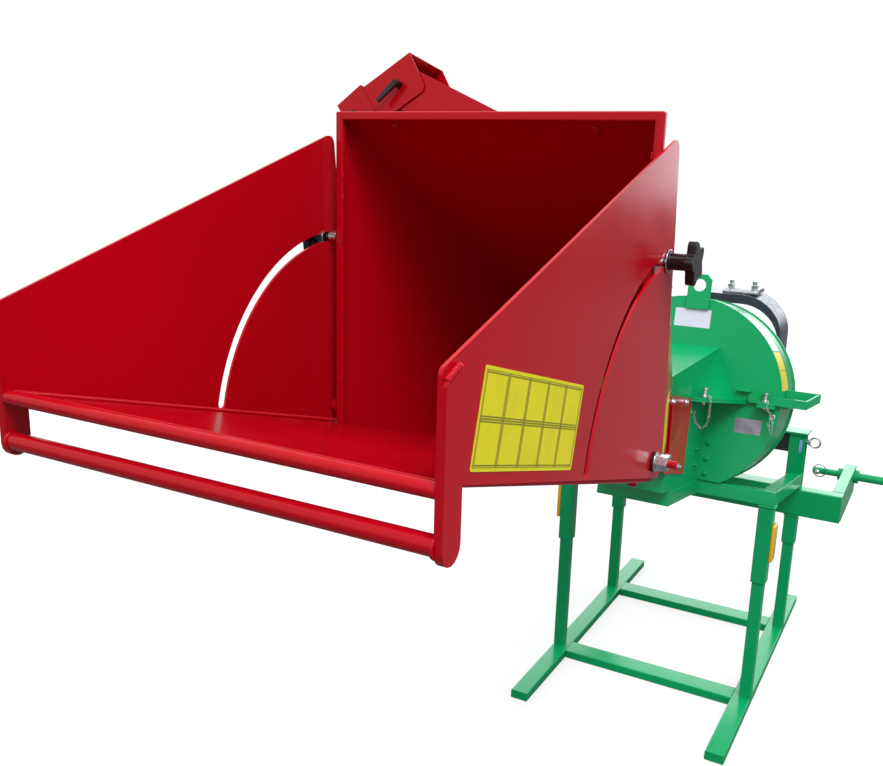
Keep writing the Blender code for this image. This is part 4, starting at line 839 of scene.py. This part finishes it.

# Drive-shaft guard
# A bent shield of dark grey plastic over the coupling, held by a plated saddle with two studs.
# Its colour is lightened and tinted blue, a painted reflection of the sky on its gloss.


def moulded_plastic():
    """Moulded plastic: a fine spark-eroded grain and a few rubbed patches."""
    inputs = {
        "Plastic": (0.02, 0.02, 0.02, 1.0), "Rubbed": (0.05, 0.05, 0.05, 1.0),
        "Gloss": 0.4, "Grain": 0.3,
    }
    group, taken, given = new_group("moulded plastic", inputs)
    rubbed = spread(group, object_noise(group, 18.0, 6.0), 0.5, 0.75, 0.0, 1.0)
    toned = blend_colour(group, rubbed, taken.outputs["Plastic"], taken.outputs["Rubbed"])
    group.links.new(toned, given.inputs["Colour"])
    smear = spread(group, object_noise(group, 50.0, 4.0), 0.3, 0.7, -0.05, 0.08)
    group.links.new(vary(group, taken.outputs["Gloss"], smear), given.inputs["Roughness"])
    grain = relief(group, object_noise(group, 1100.0, 2.0), taken.outputs["Grain"], 0.0003)
    group.links.new(grain, given.inputs["Normal"])
    return group


plastic_skin = moulded_plastic()
# Lighter and bluer than the plastic itself: a painted sky reflection on the guard
guard_plastic_sky_sheen = finish(
    "guard plastic with painted sheen", plastic_skin, 0.0, 1.40,
    Plastic=(0.044, 0.050, 0.072, 1.0), Rubbed=(0.056, 0.063, 0.088, 1.0), Gloss=0.30, Grain=0.03,
)
dress("pto_guard", guard_plastic_sky_sheen, CAST_EDGE)
dress("guard_bracket", zinc_plate, TUBE_EDGE)

# Feed funnel
# Four folded sheets of gloss red powder coat, welded to a square rim and bolted by two side
# plates to the green box. Two domed bolts hold its roof, and flanged bolts the side plates.
RED = (0.465, 0.001, 0.0095, 1.0)
red_paint = finish(
    "red powder coat", paint_skin, 0.0, 1.30,
    Paint=RED, Shade=(0.42, 0.001, 0.007, 1.0), Dust=(0.50, 0.12, 0.15, 1.0), Gloss=0.18, Peel=0.08,
)
funnel = dress("funnel", red_paint, FUNNEL_EDGE)
dress("funnel_rim", red_paint, RIM_EDGE)
SIDE_PLATE_X = 0.0963
SIDE_PLATE_BOLTS = ((-0.2572, 0.9130), (-0.2753, 0.7477), (-0.3850, 0.9420), (-0.3860, 0.8050))
SIDE_PLATE_FACES = (0.0915, 0.0975)
SIDE_PLATE_FOOT = 0.72
SIDE_PLATE_MIDDLE = -0.20
SIDE_PLATE_CORNER = (-0.41, -0.38)
REAR_CORNER_MOVE = (0.0, -0.0190, 0.0040)
FRONT_CORNER_MOVE = (0.0, 0.0, 0.058)
ROOF_BOLTS = ((-0.1824, -1.2107, 1.5473), (0.1651, -1.2083, 1.5456))
ROOF_BOLT_RADIUS = 0.0092
ROOF_BOLT_FLATNESS = 0.7
ROOF_SLOPE = math.radians(-34)


def choose(piece, test):
    """Select the vertices that pass a test, in edit mode."""
    pick(piece)
    bpy.ops.object.mode_set(mode="EDIT")
    bpy.ops.mesh.select_mode(type="VERT")
    bpy.ops.mesh.select_all(action="DESELECT")
    bpy.ops.object.mode_set(mode="OBJECT")
    for vert in piece.data.vertices:
        vert.select = test(vert.co - middle)
    bpy.ops.object.mode_set(mode="EDIT")


def plate_foot(spot):
    """Whether a spot lies in the foot of one of the funnel's side plates."""
    inner, outer = SIDE_PLATE_FACES
    return inner < abs(spot.x) < outer and spot.z < SIDE_PLATE_FOOT


def rear_corner(spot):
    """Whether a spot lies in a side plate's lower rear corner."""
    return plate_foot(spot) and spot.y > SIDE_PLATE_MIDDLE


def front_corner(spot):
    """Whether a spot lies in a side plate's lower front corner."""
    low, high = SIDE_PLATE_CORNER
    return plate_foot(spot) and low < spot.y < high


# The side plates lean with the box, so their lower corners are drawn up and towards the mouth
for test, move in ((rear_corner, REAR_CORNER_MOVE), (front_corner, FRONT_CORNER_MOVE)):
    choose(funnel, test)
    bpy.ops.transform.translate(value=move)
    end_edit()

# An apron closes the mouth's foot behind the tray's tongue: two skirts and a sill
APRON_TOP = 1.0415
APRON_FRONT = -1.2335
APRON_REAR = -1.0980
APRON_SHEET = 0.0024
SKIRT_LENGTH = 0.1386
SKIRT_HEIGHT = 0.070
SKIRT_FOOT = 1.0155
WALL_SLOPE = 0.2131
WALL_FRONT = 0.2725
SILL_WIDTH = 0.56
SILL_FALL = 0.2364
SILL_FRONT = -1.1900
SILL_TOP = 1.0170


def trim(piece, place, away):
    """Cut a piece by a plane and close it, dropping the part that the normal points to."""
    pick(piece)
    edit_all()
    bpy.ops.mesh.bisect(plane_co=place, plane_no=away, use_fill=True, clear_outer=True)
    end_edit()


apron_low = Vector((0.0, APRON_FRONT, SKIRT_FOOT))
for side, label in SIDES:
    wall_x = side * (WALL_FRONT - WALL_SLOPE * (APRON_REAR - APRON_FRONT) / 2)
    centre = (wall_x, (APRON_FRONT + APRON_REAR) / 2, APRON_TOP - SKIRT_HEIGHT / 2)
    skirt = block((APRON_SHEET, SKIRT_LENGTH, SKIRT_HEIGHT))
    skirt.matrix_world = upright_at(centre) @ Matrix.Rotation(side * math.atan(WALL_SLOPE), 4, "Z")
    settle(skirt, "apron_skirt_" + label, red_paint, "frame")
    trim(skirt, standing @ apron_low, (0.0, -SILL_FALL, -1.0))
sill_length = (APRON_REAR - SILL_FRONT) * math.hypot(1.0, SILL_FALL)
sill_y = (APRON_REAR + SILL_FRONT) / 2
sill_centre = (0.0, sill_y, SILL_TOP - SILL_FALL * (sill_y - APRON_FRONT))
sill = block((SILL_WIDTH, sill_length, APRON_SHEET))
sill.matrix_world = upright_at(sill_centre) @ Matrix.Rotation(-math.atan(SILL_FALL), 4, "X")
settle(sill, "apron_sill", red_paint, "frame")
for side in (1, -1):
    trim(sill, standing @ Vector((side * WALL_FRONT, APRON_FRONT, 1.0)), (side, WALL_SLOPE, 0.0))

# Stitches of weld hold the walls to the rim and each side plate to its wall
RIM_STITCHES = (1.115, 1.235, 1.362, 1.432, 1.468, 1.512)
STITCH_PLACE = Vector((0.2635, -1.2475, 0.0))
STITCH_HALF = 0.006
STITCH_RADIUS = 0.0016
PLATE_WELD_FOOT = (0.0985, -0.3870, 0.775)
PLATE_WELD_HEAD = (0.0985, -0.3870, 0.950)
PLATE_WELD_RADIUS = 0.0030
for side, label in SIDES:
    for index, z in enumerate(RIM_STITCHES):
        low = twin(side, STITCH_PLACE + Vector((0.0, 0.0, z - STITCH_HALF)))
        high = twin(side, STITCH_PLACE + Vector((0.0, 0.0, z + STITCH_HALF)))
        name = "rim_stitch_" + label + "_" + str(index + 1)
        weld_bead(name, low, high, STITCH_RADIUS, red_paint, "frame")
    foot = twin(side, PLATE_WELD_FOOT)
    head = twin(side, PLATE_WELD_HEAD)
    weld_bead("plate_weld_" + label, foot, head, PLATE_WELD_RADIUS, red_paint, "frame")

# The film on the funnel's side lies in the wall and leans back with the cutting unit
WALL_FILM_CENTRE = (0.1237, -0.5282, 0.9213)
film_along = Vector((-0.2052, 0.9631, 0.1736)).normalized()
film_up = Vector((0.0362, -0.1698, 0.9848)).normalized()
film_turn = Matrix((film_along, film_up, film_along.cross(film_up))).transposed().to_4x4()
wall_place = upright_at(WALL_FILM_CENTRE) @ film_turn
flat_film("wall_film", 0.100, 0.133, wall_place, yellow_film, "frame", 0.002)

FLANGE_SHEET = 0.0022
FLANGE_TOP = 0.0020


def flange_bolt(name, place, material, body, slot, flange=0.0105, across=0.0065, rise=0.0062):
    """A hexagon bolt head on a thin round flange, along its own Z axis."""
    head = bar(flange, FLANGE_SHEET, 28, FLANGE_SHEET / 2)
    hexagon = bar(across, rise, 6, FLANGE_TOP + rise / 2)
    round_edges(hexagon, FOLD_EDGE)
    round_edges(head, TUBE_EDGE)
    pick(head, hexagon)
    bpy.ops.object.join()
    head.matrix_world = place
    return settle(head, name, material, body)


for side, label in SIDES:
    for index, (y, z) in enumerate(SIDE_PLATE_BOLTS):
        out = Matrix.Rotation(side * math.pi / 2, 4, "Y")
        place = upright_at((side * SIDE_PLATE_X, y, z)) @ out
        flange_bolt("side_bolt_" + label + "_" + str(index + 1), place, zinc_plate, "frame", "zinc")
for index, spot in enumerate(ROOF_BOLTS):
    dome = ball(ROOF_BOLT_RADIUS, 24, 12)
    slope = Matrix.Rotation(ROOF_SLOPE, 4, "X")
    dome.matrix_world = upright_at(spot) @ slope @ Matrix.Diagonal((1.0, 1.0, ROOF_BOLT_FLATNESS, 1.0))
    bpy.ops.object.shade_smooth()
    settle(dome, "roof_bolt_" + "ab"[index], red_paint, "frame")

# Painted bolts of the knife holder
# Three sit on the drum's face beside the box and two on the box's own wall, sprayed over.
HOLDER_BOLTS = {
    "face": [(0.1110, 0.0, -0.1264), (0.1115, 0.0, -0.1700), (0.1125, 0.0, -0.2120)],
    "wall": [(0.0923, -0.0530, -0.1430), (0.0923, -0.0500, -0.1870)],
}
HOLDER_BOLT_SIZES = {"flange": 0.0075, "across": 0.0052, "rise": 0.0050}
for wall, spots in HOLDER_BOLTS.items():
    out = along_y if wall == "face" else along_x
    for index, spot in enumerate(spots):
        name = "holder_bolt_" + wall + "_" + str(index + 1)
        place = leaning_at(spot) @ out
        flange_bolt(name, place, green_paint, "frame", "green_paint", **HOLDER_BOLT_SIZES)

# Folding tray
# Two side wings with curved slots, a sloping floor between them, a round rod along its front
# edge and a bumper tube in front of that.
SLOT_RADIUS = 0.304
SLOT_HALF = 0.006
SLOT_WIDEN = 0.0020
SLOT_ENDS = (math.radians(91), math.radians(167.5))
SLOT_MARGIN = 0.0002
SLOT_BAND = 0.0004
WING_SHEET = 0.004
hinge = tray_hinge - middle


def reach(spot):
    """Distance from the tray's hinge, seen from the side."""
    return math.hypot(spot.y - hinge.y, spot.z - hinge.z)


def near_end(spot, end):
    """Whether a spot lies on the round end of the slot."""
    y = hinge.y + SLOT_RADIUS * math.cos(end)
    z = hinge.z + SLOT_RADIUS * math.sin(end)
    return math.hypot(spot.y - y, spot.z - z) < SLOT_HALF + SLOT_MARGIN


def on_side(spot, radius):
    """Whether a spot lies on one long side of the slot, away from its ends."""
    ends = near_end(spot, SLOT_ENDS[0]) or near_end(spot, SLOT_ENDS[1])
    angle = math.atan2(spot.z - hinge.z, spot.y - hinge.y)
    return abs(reach(spot) - radius) < SLOT_BAND and SLOT_ENDS[0] < angle < SLOT_ENDS[1] and not ends


def widen_slot(piece):
    """Open the slot by the same amount all round."""
    for end in SLOT_ENDS:
        centre = tray_hinge + Vector((0.0, SLOT_RADIUS * math.cos(end), SLOT_RADIUS * math.sin(end)))
        choose(piece, lambda spot: near_end(spot, end))
        grow = (SLOT_HALF + SLOT_WIDEN) / SLOT_HALF
        bpy.ops.transform.resize(value=(1.0, grow, grow), center_override=centre)
        end_edit()
    for side in (1, -1):
        radius = SLOT_RADIUS + side * SLOT_HALF
        choose(piece, lambda spot: on_side(spot, radius))
        grow = (radius + side * SLOT_WIDEN) / radius
        bpy.ops.transform.resize(value=(1.0, grow, grow), center_override=tray_hinge)
        end_edit()


for node in ("tray_wing_left", "tray_wing_right"):
    dress(node, red_paint, SHEET_EDGE, widen_slot)
dress("tray_floor", red_paint, SHEET_EDGE)
dress("tray_bumper", red_paint, TUBE_EDGE)

# Welds of the tray
# A seam runs along the foot of each wing and behind the front rod, a ring of weld holds each end
# of the bumper tube to its bar, and a lump closes the top of each bar.
WING_WELD = ((0.2905, -1.8900, 1.2182), (0.2905, -1.2150, 1.0262))
WING_WELD_RADIUS = 0.0040
BAR_WELD = ((0.2992, -1.9000, 1.3165), (0.2992, -1.8740, 1.3275))
BAR_WELD_RADIUS = 0.0044
ROD_WELD_END = (0.2895, -1.8893, 1.2180)
ROD_WELD_RADIUS = 0.0030
ROD_WELD_PITCH = 0.0040
BUMPER_WELD_PLACE = (0.2918, -1.8970, 1.1600)
BUMPER_WELD_RADIUS = 0.0110
BUMPER_WELD_BEAD = 0.0024
for side, label in SIDES:
    foot, head = (twin(side, spot) for spot in WING_WELD)
    weld_bead("wing_weld_" + label, foot, head, WING_WELD_RADIUS, red_paint, "tray")
    foot, head = (twin(side, spot) for spot in BAR_WELD)
    weld_bead("bar_weld_" + label, foot, head, BAR_WELD_RADIUS, red_paint, "tray")
weld_bead(
    "rod_weld", twin(-1, ROD_WELD_END), twin(1, ROD_WELD_END), ROD_WELD_RADIUS, red_paint,
    "tray", pitch=ROD_WELD_PITCH,
)
for side, label in SIDES:
    ring = hoop(BUMPER_WELD_RADIUS, BUMPER_WELD_BEAD, 32, 8)
    bpy.ops.object.shade_smooth()
    ring.matrix_world = upright_at(twin(side, BUMPER_WELD_PLACE)) @ along_x
    settle(ring, "bumper_weld_" + label, red_paint, "tray")

# Blank panel on the right wing
# A yellow film with two rows of plain cells, printed as thin outlines.
PANEL_WIDTH = 0.2755
PANEL_HEIGHT = 0.1015
PANEL_MARGIN = 0.007
PANEL_SLOPE = math.radians(-15.35)
PANEL_CENTRE = (-1.7018, 1.2308)
PANEL_COLUMNS = 5
PANEL_ROWS = 2
PANEL_LINE = 0.0008
PANEL_GAP = 0.0050
PRINT = 0.0001

ink = finish(
    "printed ink", film_skin, 0.0, 1.45,
    Print=(0.22, 0.19, 0.006, 1.0), Worn=(0.30, 0.26, 0.008, 1.0), Gloss=0.35, Ripple=0.08,
)
wing_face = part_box("tray_wing_right")[0].x + WING_SHEET - middle.x
panel_y, panel_z = PANEL_CENTRE
panel_place = upright_at((wing_face + FILM / 2, panel_y, panel_z)) @ Matrix.Rotation(PANEL_SLOPE, 4, "X")
panel_place = panel_place @ Matrix.Rotation(math.pi / 2, 4, "Z") @ along_y
flat_film(
    "wing_panel", PANEL_WIDTH, PANEL_HEIGHT, panel_place, yellow_film, "tray", 0.003,
)

bpy.ops.mesh.primitive_grid_add(
    x_subdivisions=PANEL_COLUMNS, y_subdivisions=PANEL_ROWS, size=1.0, location=ORIGIN,
)
lines = bpy.context.object
lines.scale = (PANEL_WIDTH - PANEL_MARGIN, PANEL_HEIGHT - PANEL_MARGIN, 1.0)
bpy.ops.object.transform_apply(scale=True)
edit_all()
bpy.ops.mesh.inset(thickness=PANEL_GAP / 2, use_individual=True)
bpy.ops.mesh.select_all(action="INVERT")
bpy.ops.mesh.delete(type="FACE")
bpy.ops.mesh.select_all(action="SELECT")
bpy.ops.mesh.inset(thickness=PANEL_LINE, use_individual=True)
bpy.ops.mesh.delete(type="FACE")
end_edit()
thicken(lines, PRINT, 1.0)
lines.matrix_world = panel_place @ Matrix.Translation((0.0, 0.0, FILM))
settle(lines, "wing_panel_lines", ink, "tray")

# Tray fixings
# Each wing turns on a painted pivot with a rubber pad and a plated washer and nut. A black star
# knob on a plated stud clamps it at any height. A row of the stack gives a piece's name, its
# number of corners, its radius and how far its two ends lie from the middle plane.
PIVOT_EDGE = 0.0007
WASHER_EDGE = 0.0005
KNOB_WASHER = 0.0172
KNOB_WASHER_SHEET = 0.0020
KNOB_WASHER_X = 0.2990
PIVOT_STACK = (
    ("boss", 24, 0.0120, 0.2790, 0.2925, "red_paint"),
    ("pad", 28, 0.0158, 0.2976, 0.3008, "black_plastic"),
    ("washer", 32, 0.0152, 0.3009, 0.3032, "zinc"),
    ("nut", 6, 0.0134, 0.3033, 0.3205, "zinc"),
    ("end", 20, 0.0058, 0.3200, 0.3335, "red_paint"),
)
rubber = finish(
    "rubber", plastic_skin, 0.0, 1.45,
    Plastic=(0.008, 0.006, 0.006, 1.0), Rubbed=(0.02, 0.015, 0.015, 1.0), Gloss=0.55, Grain=0.4,
)
stack_paint = {"zinc": zinc_plate, "black_plastic": rubber, "red_paint": red_paint}
for side, label in SIDES:
    for name, corners, radius, inner, outer, slot in PIVOT_STACK:
        layer = bar(radius, outer - inner, corners)
        round_edges(layer, PIVOT_EDGE)
        layer.matrix_world = upright_at((side * (inner + outer) / 2, hinge.y, hinge.z)) @ along_x
        settle(layer, "pivot_" + name + "_" + label, stack_paint[slot], "frame")
        if name == "boss":
            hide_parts("pivot_bolt_" + label)
    dress("slot_stud_" + label, zinc_plate, PIN_EDGE)
knob_plastic = finish(
    "knob plastic", plastic_skin, 0.0, 1.48,
    Plastic=(0.004, 0.004, 0.005, 1.0), Rubbed=(0.012, 0.013, 0.016, 1.0), Gloss=0.22, Grain=0.10,
)
stud_low, stud_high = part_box("slot_stud_right")
stud_centre = (stud_low + stud_high) / 2 - middle
for side, label in SIDES:
    dress("star_knob_" + label, knob_plastic, MOULDED_EDGE)
    washer = bar(KNOB_WASHER, KNOB_WASHER_SHEET, 36)
    round_edges(washer, WASHER_EDGE)
    washer.matrix_world = upright_at((side * KNOB_WASHER_X, stud_centre.y, stud_centre.z)) @ along_x
    settle(washer, "knob_washer_" + label, zinc_plate, "knob_" + label)

# Discharge chute
# A welded duct of red sheet with two hinged deflectors, each clamped by a black lever.
for node in ("chute", "deflector_1", "deflector_2"):
    dress(node, red_paint, FOLD_EDGE)
for node in ("clamp_lever_1", "clamp_lever_2"):
    dress(node, knob_plastic, MOULDED_EDGE)
